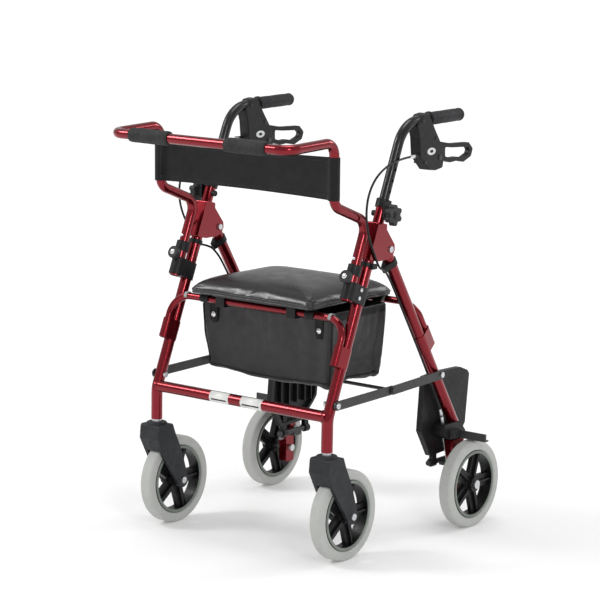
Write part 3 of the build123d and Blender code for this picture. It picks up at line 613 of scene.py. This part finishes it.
SEAT_LOW, SEAT_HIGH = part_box("seat_cushion")
SEAT_MIDDLE = (SEAT_LOW + SEAT_HIGH) / 2
SEAT_SPREAD = 0.004
SEAT_HALF_X = (SEAT_HIGH.x - SEAT_LOW.x) / 2 + SEAT_SPREAD
SEAT_HALF_Y = (SEAT_HIGH.y - SEAT_LOW.y) / 2 + SEAT_SPREAD
SEAT_CORNER = 0.0105
SIDE_PULL = 0.003
SEAT_RISE = 0.0390
SEAT_CROWN = 0.0045


def seat_ring(inset, z):
    """One closed ring round the cushion, its sides pulled in between the corners."""
    half_x = SEAT_HALF_X - inset
    half_y = SEAT_HALF_Y - inset
    ring = []
    for x, y in rounded_outline(half_x, half_y, min(SEAT_CORNER + 0.5 * inset, 0.6 * half_y), 16):
        u, v = x / half_x, y / half_y
        pulled_x = x - math.copysign(SIDE_PULL * (1 - v * v) * abs(u) ** 8, x)
        pulled_y = y - math.copysign(SIDE_PULL * (1 - u * u) * abs(v) ** 8, y)
        crown = SEAT_CROWN * (1 - (x / SEAT_HALF_X) ** 2) * (1 - (y / SEAT_HALF_Y) ** 2)
        height = z + crown * max(0.0, (z - 0.3 * SEAT_RISE) / (0.7 * SEAT_RISE))
        ring.append(Vector((pulled_x, SEAT_MIDDLE.y + pulled_y, SEAT_LOW.z + height)))
    return ring


# The pad's section from its underside over the edge to the crown: (inset from the edge, height)
SEAT_SECTION = (
    (0.0125, 0.0060), (0.0120, -0.0010), (0.0050, -0.0016), (0.0008, 0.0005), (0.0006, 0.0050),
    (0.0030, 0.0110), (0.0080, 0.0170), (0.0150, 0.0230), (0.0240, 0.0280), (0.0350, 0.0320),
    (0.0490, 0.0350), (0.0660, 0.0370), (0.0850, 0.0382), (0.1040, 0.0388), (0.1200, 0.0390),
)


def make_seat():
    """Crowned vinyl pad, with piping at its base, a seam under the crown and corner darts."""
    rings = [seat_ring(inset, z) for inset, z in SEAT_SECTION]
    cushion = piece_of("seat_pad", loft(rings), VINYL)
    swell(cushion, 0.005, 1.6, 0.0035)
    smooth_once(cushion)
    corners = [(sx * (SEAT_HALF_X - 0.008), SEAT_MIDDLE.y + sy * (SEAT_HALF_Y - 0.008))
               for sx in (-1, 1) for sy in (-1, 1)]
    floor_z = SEAT_LOW.z - 0.0020
    for vertex in cushion.data.vertices:
        x, y, z = vertex.co
        for corner_x, corner_y in corners:
            reach = math.hypot(x - corner_x, y - corner_y)
            angle = math.atan2(y - corner_y, x - corner_x)
            fade = math.exp(-(reach / 0.034) ** 2) * min(1.0, (z - SEAT_LOW.z) / 0.02)
            vertex.co.z -= 0.0016 * fade * (0.6 + 0.4 * math.cos(13 * angle))
        vertex.co.z += 0.0002 * noise.noise(Vector((x * 26, y * 26, z * 20)))
        vertex.co.z = max(floor_z, min(vertex.co.z, SEAT_HIGH.z + 0.004))
    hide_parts("seat_cushion")
    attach(cushion, "seat")
    skin = surface_of(cushion)
    for name, height, radius in (("seat_piping_low", 0.0008, 0.0019), ("seat_piping_high", 0.0095, 0.0011)):
        line = []
        for point in seat_ring(0.002, height):
            near, normal, _, _ = skin.find_nearest(point)
            line.append(near + normal * radius * 0.25)
        piece = piece_of(name, wire(line, radius, closed=True), VINYL)
        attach(piece, "seat")
    line, normals = [], []
    for point in seat_ring(0.003, 0.0125):
        near, normal, _, _ = skin.find_nearest(point)
        line.append(near)
        normals.append(normal)
    piece = piece_of("seat_stitching", stitches(line + line[:1], normals, 0.0052, 0.0034, 0.00045),
                     THREAD)
    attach(piece, "seat")


make_seat()

# ---------------------------------------------------------------- bag

BAG_LOW_Z = 0.361
BAG_TOP_Z = 0.533
BAG_ROWS = 18
BAG_FLOOR_INSETS = (0.080, 0.060, 0.040, 0.022, 0.008)
BAG_FRAMES = 16


def bag_ring(share, inset=0.0):
    """One ring of the bag's skin, share 0 at the bottom and 1 at the hem."""
    half_x = 0.181 + 0.004 * share - inset
    half_y = 0.096 + 0.003 * share - inset * 0.6
    middle_y = -0.023 + 0.002 * share
    z = BAG_LOW_Z + 0.003 + (BAG_TOP_Z - BAG_LOW_Z - 0.006) * share
    ring = []
    for x, y in rounded_outline(half_x, half_y, 0.011 + 0.008 * (1 - share), 20):
        raised = 0.009 * (x / half_x) ** 2 * (1 - share) ** 3
        ring.append(Vector((x, middle_y + y, z + raised)))
    return ring


def bag_folds(point):
    """How far the cloth stands in or out at a point, in metres."""
    x, y, z = point
    side = min(1.0, max(0.0, (abs(x) - 0.10) / 0.06))
    rear = 1.0 if y > 0.0 else 0.0
    loose = 0.22 + 0.95 * max(side, 0.6 * rear)
    low = 1.0 - min(1.0, (z - BAG_LOW_Z) / 0.12)
    crease = noise.ridged_multi_fractal(Vector((x * 9, y * 14, z * 13)), 1.0, 2.0, 3, 1.0, 2.0)
    wave = noise.noise(Vector((x * 16 + 3, y * 22, z * 9)))
    crumple = noise.noise(Vector((x * 30, y * 24 + 5, z * 34)))
    pinch = side * low * (0.0055 * crumple + 0.0045 * noise.noise(Vector((4.0, y * 30, z * 50))))
    return loose * (0.0026 * (crease - 1.0) + 0.0045 * wave) * (0.45 + 0.6 * low) + pinch


def make_bag():
    """Open cloth bag hung between the seat tubes: simulated sag, then creases, hem and straps."""
    rings = [bag_ring(0.0, inset) for inset in BAG_FLOOR_INSETS]
    rings += [bag_ring(step / BAG_ROWS) for step in range(BAG_ROWS + 1)]
    bag = piece_of("bag_shell", loft(rings, (True, False)), NYLON)
    start = [v.co.copy() for v in bag.data.vertices]
    held = bag.vertex_groups.new(name="held")
    held.add([v.index for v in bag.data.vertices if v.co.z > BAG_TOP_Z - 0.012], 1.0, "REPLACE")
    cloth = bag.modifiers.new("cloth", "CLOTH")
    cloth.settings.quality = 5
    cloth.settings.vertex_group_mass = "held"
    cloth.settings.shrink_min = -0.05
    cloth.settings.use_pressure = True
    cloth.settings.uniform_pressure_force = 0.25
    cloth.point_cache.frame_end = BAG_FRAMES
    settle(bag, start, 0.009, BAG_FRAMES)
    bag.vertex_groups.clear()
    smooth_once(bag)
    bag.data.update()
    normals = [v.normal.copy() for v in bag.data.vertices]
    for vertex, normal in zip(bag.data.vertices, normals):
        fade = min(1.0, max(0.0, (BAG_TOP_Z - 0.004 - vertex.co.z) / 0.02))
        vertex.co += normal * bag_folds(vertex.co) * fade
        vertex.co.z = max(vertex.co.z, BAG_LOW_Z - 0.006)
    skin = surface_of(bag)
    wall = bag.modifiers.new("wall", "SOLIDIFY")
    wall.thickness = 0.0012
    wall.offset = -1.0
    baked(bag)
    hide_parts("storage_bag")
    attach(bag, "front_frame")
    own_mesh(bag)
    bag_trim(skin)
    bag_straps(skin)


def on_skin(skin, point, proud):
    """The nearest place on a skin, standing a little proud of it, and its normal."""
    near, normal, _, _ = skin.find_nearest(Vector(point))
    return near + normal * proud, normal


def bag_trim(skin):
    """Bound hem at the top, piping down the corners and round the floor, and rows of stitches."""
    hem = []
    for share, proud in ((0.885, 0.0002), (0.89, 0.0016), (0.94, 0.0019), (0.985, 0.0016), (0.99, 0.0002)):
        hem.append([on_skin(skin, p, proud)[0] for p in bag_ring(share)])
    pieces = [piece_of("bag_hem", loft(hem, (False, False)), WEBBING)]
    for name, share in (("bag_hem_stitch_low", 0.90), ("bag_hem_stitch_high", 0.975)):
        found = [on_skin(skin, p, 0.0018) for p in bag_ring(share)]
        line = [p for p, _ in found] + [found[0][0]]
        pieces.append(piece_of(name, stitches(line, [n for _, n in found], 0.0048, 0.0030, 0.0004),
                               THREAD))
    floor_line = [on_skin(skin, p, 0.0008)[0] for p in bag_ring(0.012)]
    pieces.append(piece_of("bag_floor_piping", wire(floor_line, 0.0017, closed=True), WEBBING))
    seams = []
    for sign_x in (-1, 1):
        for sign_y in (-1, 1):
            line = []
            for step in range(13):
                share = 0.02 + 0.86 * step / 12
                x = sign_x * (0.177 + 0.004 * share)
                y = -0.023 + 0.002 * share + sign_y * (0.092 + 0.003 * share)
                z = BAG_LOW_Z + 0.003 + (BAG_TOP_Z - BAG_LOW_Z - 0.006) * share
                line.append(on_skin(skin, (x, y, z), 0.0006)[0])
            seams.append(wire(line, 0.0016))
    pieces.append(piece_of("bag_corner_piping", joined(seams), WEBBING))
    for piece in pieces:
        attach(piece, "front_frame")
        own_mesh(piece)


STRAP_HALF_X = 0.0125
SNAP_X = 0.149


def ribbon(path, half_x, thickness, x):
    """A flat strap in a plane across X, along (Y, Z) points, with its two faces."""
    rings = []
    for index, (y, z) in enumerate(path):
        before = path[max(0, index - 1)]
        after = path[min(len(path) - 1, index + 1)]
        run = Vector((0, after[0] - before[0], after[1] - before[1])).normalized()
        out = run.cross(Vector((1, 0, 0)))
        centre = Vector((x, y, z))
        narrow = half_x * (0.72 if index in (0, len(path) - 1) else 1.0)
        half = out * thickness / 2
        across = Vector((narrow, 0, 0))
        edge = Vector((narrow * 0.94, 0, 0))
        rings.append([centre - across, centre - edge + half, centre + edge + half,
                      centre + across, centre + edge - half, centre - edge - half])
    return loft(rings)


SNAP_PROFILE = (
    (0.0, 0.0062), (0.0009, 0.0064), (0.0013, 0.0056), (0.0016, 0.0040), (0.0026, 0.0034), (0.0030, 0.0012),
)
STRAP_HEIGHTS = (0.512, 0.500, 0.488, 0.469)
STRAP_T = 0.0014


def bag_straps(skin):
    """Straps looped over the seat tubes, each closed by a snap on the bag."""
    reach = SEAT_TUBE_R + 0.0030
    for place, tube_y, tube_z, toward, body in (
        ("front", SEAT_TUBE_Y, SEAT_TUBE_Z, 1, "front_frame"),
        ("rear", REAR_TUBE_Y, REAR_TUBE_Z, -1, "rear_frame"),
    ):
        for side, sign in SIDES:
            x = sign * SNAP_X
            hang = [on_skin(skin, (x, tube_y + toward * 0.02, z), 0.0022)[0] for z in STRAP_HEIGHTS]
            loop = [(tube_y - toward * reach * math.cos(a), tube_z + reach * math.sin(a))
                    for a in (math.radians(d) for d in range(-40, 161, 20))]
            path = loop + [(p.y, p.z) for p in hang]
            strap = piece_of(f"bag_strap_{place}_{side}", ribbon(path, STRAP_HALF_X, STRAP_T, x), WEBBING)
            rounding = strap.modifiers.new("rounding", "SUBSURF")
            rounding.levels = 1
            baked(strap)
            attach(strap, body)
            seat, _ = on_skin(skin, (x, hang[2].y, hang[2].z), 0.0028)
            dome = piece_of(f"bag_snap_{place}_{side}", lathe(seat, (0, -toward, 0), SNAP_PROFILE, 28),
                            CHROME)
            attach(dome, body)


make_bag()


def make_bag_clips():
    """Small pale hooks that hold the bag's side cords to the seat tubes."""
    for name, x, tube_y, tube_z, body in (
        ("front", 0.203, SEAT_TUBE_Y, SEAT_TUBE_Z, "front_frame"),
        ("rear", 0.162, REAR_TUBE_Y, REAR_TUBE_Z, "rear_frame"),
    ):
        for side, sign in SIDES:
            reach = SEAT_TUBE_R + 0.0012
            path = [(tube_y - reach * math.cos(a), tube_z + reach * math.sin(a))
                    for a in (math.radians(d) for d in range(-20, 181, 20))]
            piece = piece_of(f"bag_clip_{name}_{side}", ribbon(path, 0.0042, 0.0014, sign * x), CLIP_GREY)
            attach(piece, body)


make_bag_clips()

# ---------------------------------------------------------------- back band

BAND_LOW, BAND_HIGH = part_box("backrest_band")
SLEEVE_R = 0.0132
BAND_HALF_T = 0.0022
BAND_ROWS = 14


def band_section(share):
    """Closed outline of the band at one height: front cloth, sleeve, back cloth, sleeve."""
    centre_y = POST_Y + 0.0005 - 0.0012 * (share - 0.5)
    join = math.asin(BAND_HALF_T / SLEEVE_R)
    points = []
    for sign in (1, -1):
        steps = 22
        face = -1 if sign == 1 else 1
        for k in range(steps):
            x = -sign * (LEG_X - SLEEVE_R * 1.3) * (1 - 2 * k / steps)
            points.append((x, centre_y + face * BAND_HALF_T, "panel"))
        for k in range(17):
            a = math.pi - join - (2 * math.pi - 2 * join) * k / 16
            y = face * SLEEVE_R * math.sin(a)
            points.append((sign * (LEG_X + SLEEVE_R * math.cos(a)), centre_y + y, "sleeve"))
    return points


def make_band():
    """Stretched cloth round both posts, its edges drawn in between them, with hems and stitches."""
    rings = []
    for row in range(BAND_ROWS + 1):
        share = row / BAND_ROWS
        ring = []
        for x, y, kind in band_section(share):
            middle = 1 - min(1.0, abs(x) / (LEG_X - SLEEVE_R)) ** 2
            draw = 0.0035 * middle * (1 - 2 * share)
            z = BAND_LOW.z + 0.0008 + (BAND_HIGH.z - BAND_LOW.z - 0.0016) * share + draw
            if kind == "panel":
                near_post = abs(x) / LEG_X
                pull = 0.0011 * near_post ** 3 * noise.noise(Vector((x * 20, 0.0, z * 95)))
                y += pull + 0.0008 * noise.noise(Vector((x * 11, 2.0, z * 30)))
            ring.append(Vector((x, y, z)))
        rings.append(ring)
    band = piece_of("back_band", loft(rings, (False, False)), BAND_CLOTH)
    smooth_once(band)
    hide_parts("backrest_band")
    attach(band, "backrest")
    skin = surface_of(band)
    trims = []
    for name, height in (("top", BAND_HIGH.z - 0.009), ("top_inner", BAND_HIGH.z - 0.012),
                         ("low", BAND_LOW.z + 0.009), ("low_inner", BAND_LOW.z + 0.012)):
        for face, y in (("front", POST_Y - 0.02), ("rear", POST_Y + 0.02)):
            found = [on_skin(skin, (-0.222 + 0.444 * k / 40, y, height), 0.0001) for k in range(41)]
            mesh = stitches([p for p, _ in found], [n for _, n in found], 0.0046, 0.0030, 0.0004)
            trims.append(piece_of(f"band_stitch_{name}_{face}", mesh, THREAD))
    for side, sign in SIDES:
        for face, y in (("front", POST_Y - 0.02), ("rear", POST_Y + 0.02)):
            found = [on_skin(skin, (sign * 0.2225, y, BAND_LOW.z + 0.006 + 0.080 * k / 12), 0.0001)
                     for k in range(13)]
            mesh = stitches([p for p, _ in found], [n for _, n in found], 0.0046, 0.0030, 0.0004)
            trims.append(piece_of(f"band_seam_{side}_{face}", mesh, THREAD))
    for piece in trims:
        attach(piece, "backrest")


make_band()

# ---------------------------------------------------------------- grips


def make_push_grips():
    """Foam sleeves on the push bar, slightly barrelled and dented, with rounded ends."""
    for side, sign in SIDES:
        origin = Vector((sign * 0.078, PUSH_BAR.y, PUSH_BAR.z))
        length = 0.110
        profile = [(0.0004, 0.0113), (0.0006, 0.0140), (0.0022, 0.0156)]
        profile += [(0.006 + (length - 0.012) * k / 14, 0.0158 + 0.0002 * math.sin(math.pi * k / 14))
                    for k in range(15)]
        profile += [(length - 0.0022, 0.0156), (length - 0.0006, 0.0140), (length - 0.0004, 0.0113)]
        grip = piece_of(f"push_foam_{side}", lathe(origin, (sign, 0, 0), profile, 48), FOAM)
        smooth_once(grip)
        for vertex in grip.data.vertices:
            away = vertex.co - PUSH_BAR
            away.x = 0.0
            if away.length > 0.0145:
                dent = 0.0006 * noise.noise(vertex.co * 45) - 0.0002
                vertex.co += away.normalized() * dent
        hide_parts("push_grips")
        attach(grip, "backrest")


GRIP_RINGS = 8


def make_hand_grips():
    """Rubber hand grips: a flange, fine rings, a palm swell and a domed end."""
    for side, sign in SIDES:
        low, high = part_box(f"hand_grip_{side}")
        start = Vector((sign * LEG_X, low.y, 0.9379))
        end = Vector((sign * LEG_X, high.y, 0.9406))
        length = (end - start).length
        profile = [(0.0002, 0.0113), (0.0003, 0.0155), (0.0012, 0.0165), (0.0044, 0.0165)]
        profile += [(0.0056, 0.0155), (0.0062, 0.0140)]
        for k in range(GRIP_RINGS):
            base = 0.0085 + 0.0042 * k
            profile += [(base, 0.0139), (base + 0.0015, 0.0145), (base + 0.0030, 0.0139)]
        for k in range(12):
            along = 0.046 + (length - 0.066) * k / 11
            profile.append((along, 0.0141 + 0.0004 * math.sin(math.pi * k / 11)))
        profile += [(length - 0.018, 0.0139), (length - 0.016, 0.0134)]
        profile += [(length - 0.014, 0.0134), (length - 0.012, 0.0142)]
        profile += [(length - 0.010 + 0.0098 * math.sin(a), 0.0045 + 0.0102 * math.cos(a))
                    for a in (math.radians(d) for d in (0, 18, 36, 54, 70, 84))]
        grip = piece_of(f"grip_{side}", lathe(start, end - start, profile, 48), GRIP_RUBBER)
        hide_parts(f"hand_grip_{side}")
        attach(grip, f"handle_{side}")


make_push_grips()
make_hand_grips()

# ---------------------------------------------------------------- small fittings


def oval_badge(name, centre, outward, body):
    """A blank oval badge: a pale plate with a small dark middle."""
    for label, half_y, half_z, high, finish in (
        ("rim", 0.0155, 0.0080, 0.0008, BADGE_WHITE), ("field", 0.0062, 0.0034, 0.0011, BLACK_PLASTIC),
    ):
        rings = []
        for share, out in ((1.0, 0.0), (1.0, 0.6 * high), (0.96, high), (0.5, high)):
            ring = []
            for k in range(48):
                a = 2 * math.pi * k / 48
                offset = (outward * out, half_y * share * math.cos(a), half_z * share * math.sin(a))
                ring.append(centre + Vector(offset))
            rings.append(ring)
        piece = piece_of(f"{name}_{label}", loft(rings), finish)
        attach(piece, body)


SCREW = (
    (0.0, 0.0040), (0.0012, 0.0040), (0.0018, 0.0034), (0.0019, 0.0020), (0.0007, 0.0018), (0.0006, 0.0004),
)


def make_housing_details():
    """Badge, screws and lever pivot on each brake housing."""
    for side, sign in SIDES:
        for face, outward in (("outer", sign), ("inner", -sign)):
            x = sign * LEG_X + outward * 0.0140
            oval_badge(f"badge_{side}_{face}", Vector((x, 0.133, 0.868)), outward, f"handle_{side}")
            heads = [lathe((x, y, z), (outward, 0, 0), SCREW, 24)
                     for y, z in ((0.100, 0.936), (0.112, 0.845), (0.150, 0.895))]
            piece = piece_of(f"housing_screws_{side}_{face}", joined(heads), BLACK_STEEL)
            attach(piece, f"handle_{side}")
            pivot = [(0.0, 0.0062), (0.0016, 0.0062), (0.0024, 0.0052), (0.0025, 0.0005)]
            head = lathe((x, 0.166, 0.852), (outward, 0, 0), pivot, 28)
            piece = piece_of(f"lever_pivot_{side}_{face}", head, BLACK_STEEL)
            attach(piece, f"handle_{side}")


def make_labels():
    """Two blank labels wrapped round the crossbar, each with a plain dark stripe."""
    radius = TUBE_R + 0.00025
    inner = radius - 0.0002
    for index, (low_x, high_x) in enumerate(((-0.078, -0.024), (0.010, 0.069))):
        for name, inset, outer, start, sweep, finish in (
            ("sheet", 0.0, radius + 0.00015, 100, 150, LABEL),
            ("stripe", 0.006, radius + 0.00030, 188, 14, BLACK_PLASTIC),
        ):
            left, right = low_x + inset, high_x - inset
            rings = []
            for k in range(15):
                a = math.radians(start + sweep * k / 14)
                ring = []
                for x, r in ((left, outer), (right, outer), (right, inner), (left, inner)):
                    ring.append(Vector((x, BEND_Y + r * math.cos(a), CROSSBAR_Z + r * math.sin(a))))
                rings.append(ring)
            piece = piece_of(f"crossbar_label_{index + 1}_{name}", loft(rings), finish)
            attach(piece, "front_frame")


def weld_bead(centre, branch, branch_r, main_r, main_dir):
    """An uneven weld bead where a branch tube meets the side of a main tube."""
    branch = Vector(branch).normalized()
    main = Vector(main_dir).normalized()
    square = branch.cross(main).normalized()
    points = []
    for k in range(56):
        a = 2 * math.pi * k / 56
        off = branch_r * math.sin(a)
        rise = math.sqrt(max(1e-8, main_r ** 2 - off ** 2)) if abs(off) < main_r else 0.0003
        ripple = 1.0 + 0.04 * math.sin(17 * a)
        around = square * off + main * branch_r * math.cos(a)
        points.append(Vector(centre) + branch * (rise + 0.0004) + around * ripple)
    return wire(points, 0.0015, closed=True)


def make_welds():
    """Weld beads at the crossbar's ends."""
    for side, sign in SIDES:
        bead = weld_bead((sign * LEG_X, BEND_Y, CROSSBAR_Z), (-sign, 0, 0), TUBE_R, TUBE_R, (0, 0, 1))
        piece = piece_of(f"crossbar_weld_{side}", bead, RED)
        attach(piece, "front_frame")


WHEELS = (
    ("front", LEG_X, CASTER_AXLE_Y), ("rear", REAR_WHEEL_X, REAR_AXLE_Y),
)


def make_wheel_details():
    """Pale flange rings on both faces of each rim, and the moulded ring round each boss."""
    flange = [(0.0, 0.0705), (0.0012, 0.0705), (0.0018, 0.0712)]
    flange += [(0.0018, 0.0765), (0.0014, 0.0772), (0.0, 0.0772)]
    collar = [(0.0, 0.0205), (0.0010, 0.0205), (0.0022, 0.0195)]
    collar += [(0.0022, 0.0178), (0.0006, 0.0172), (0.0, 0.0172)]
    for end, wheel_x, axle_y in WHEELS:
        for side, sign in SIDES:
            body = f"{end}_wheel_{side}"
            for face, outward in (("outer", sign), ("inner", -sign)):
                origin = (sign * wheel_x + outward * 0.0139, axle_y, AXLE_Z)
                ring = hoop(origin, (outward, 0, 0), flange)
                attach(piece_of(f"{end}_rim_ring_{side}_{face}", ring, RIM_RING), body)
                origin = (sign * wheel_x + outward * 0.0050, axle_y, AXLE_Z)
                ring = hoop(origin, (outward, 0, 0), collar)
                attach(piece_of(f"{end}_boss_ring_{side}_{face}", ring, RIM_BLACK), body)


def hoop(origin, direction, section, steps=72):
    """A turned ring with a hole: section is (distance along, radius) points round its outline."""
    direction = Vector(direction).normalized()
    side, other = frame_along(direction)
    work = bmesh.new()
    rows = []
    for k in range(steps):
        a = 2 * math.pi * k / steps
        out = math.cos(a) * side + math.sin(a) * other
        rows.append([work.verts.new(Vector(origin) + direction * along + out * radius)
                     for along, radius in section])
    count = len(section)
    for k in range(steps):
        row, following = rows[k], rows[(k + 1) % steps]
        for i in range(count):
            j = (i + 1) % count
            work.faces.new((row[i], row[j], following[j], following[i]))
    bmesh.ops.recalc_face_normals(work, faces=work.faces)
    mesh = bpy.data.meshes.new("hoop")
    work.to_mesh(mesh)
    work.free()
    return mesh


def make_plugs():
    """Domed plugs in the rear legs' upper ends, and caps on the height and backrest knobs."""
    for side, sign in SIDES:
        y, z = on_rear(PIVOT_Z + 0.011)
        up = (0, -math.sin(SPLAY), math.cos(SPLAY))
        plug = [(-0.004, 0.0108), (0.0, 0.0110), (0.0002, 0.0124)]
        plug += [(0.0018, 0.0122), (0.0036, 0.0098), (0.0042, 0.0050)]
        piece = piece_of(f"rear_leg_plug_{side}", lathe((sign * LEG_X, y, z), up, plug), BLACK_PLASTIC)
        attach(piece, "rear_frame")
        y, z = on_leg(0.745)
        cap = [(0.0, 0.0090), (0.0008, 0.0090), (0.0012, 0.0082)]
        cap += [(0.0009, 0.0060), (0.0014, 0.0052), (0.0016, 0.0008)]
        piece = piece_of(f"height_knob_cap_{side}", lathe((sign * 0.2834, y, z), (sign, 0, 0), cap),
                         BLACK_PLASTIC)
        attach(piece, f"height_knob_{side}")
        nut = [(0.0, 0.0062), (0.0010, 0.0062), (0.0020, 0.0052), (0.0026, 0.0030), (0.0028, 0.0006)]
        near_y, near_z = on_leg(0.598, POST_OUT + 0.0175)
        y, z = on_leg(0.598, POST_OUT + 0.0289)
        outward = (0, y - near_y, z - near_z)
        piece = piece_of(f"backrest_knob_cap_{side}", lathe((sign * LEG_X, y, z), outward, nut), CHROME)
        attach(piece, f"backrest_knob_{side}")


make_housing_details()
make_labels()
make_welds()
make_wheel_details()
make_plugs()

# ---------------------------------------------------------------- studio


FLOOR_REACH = 60.0
SURROUND_STRENGTH = 0.60

# Name, place, side of the square panel in metres, and power in watts
LAMPS = (
    ("key", (-2.6, -2.2, 3.2), 1.1, 62.0),
    ("fill", (3.4, -2.2, 2.4), 0.9, 34.0),
    ("top", (0.0, 0.3, 3.4), 1.4, 26.0),
    ("rim", (1.8, 3.2, 2.4), 1.2, 24.0),
)


def make_studio():
    """Pale floor that glows further out, soft panels and an even white surround."""
    floor = bpy.data.meshes.new("floor")
    corners = [(x * FLOOR_REACH, y * FLOOR_REACH, 0) for x, y in ((-1, -1), (1, -1), (1, 1), (-1, 1))]
    floor.from_pydata(corners, [], [(0, 1, 2, 3)])
    ground = bpy.data.objects.new("floor", floor)
    bpy.context.scene.collection.objects.link(ground)
    pale = Finish("pale_floor", (0.88, 0.88, 0.88), 0.7, 0.0, Specular_IOR_Level=0.1)
    pale.shader.inputs["Emission Color"].default_value = (1.0, 1.0, 1.0, 1.0)
    away = pale.node("ShaderNodeVectorMath", (("operation", "LENGTH"),), Vector=pale.place).outputs["Value"]
    pale.tree.links.new(pale.ramp(away, 0.8, 4.2, 0.12, 0.52), pale.shader.inputs["Emission Strength"])
    pale.roughness(pale.noise(3.0), 0.65, 0.75)
    floor.materials.append(pale.material)
    for name, place, size, power in LAMPS:
        data = bpy.data.lights.new(name, "AREA")
        data.shape = "SQUARE"
        data.size = size
        data.energy = power
        lamp = bpy.data.objects.new(name, data)
        lamp.location = place
        lamp.rotation_euler = (Vector((0, 0, 0.5)) - Vector(place)).to_track_quat("-Z", "Y").to_euler()
        bpy.context.scene.collection.objects.link(lamp)
    world = bpy.data.worlds.new("studio")
    world.use_nodes = True
    surround = world.node_tree.nodes["Background"]
    surround.inputs["Color"].default_value = (1.0, 1.0, 1.0, 1.0)
    surround.inputs["Strength"].default_value = SURROUND_STRENGTH
    bpy.context.scene.world = world
    bpy.context.scene.view_settings.view_transform = "Standard"


make_studio()
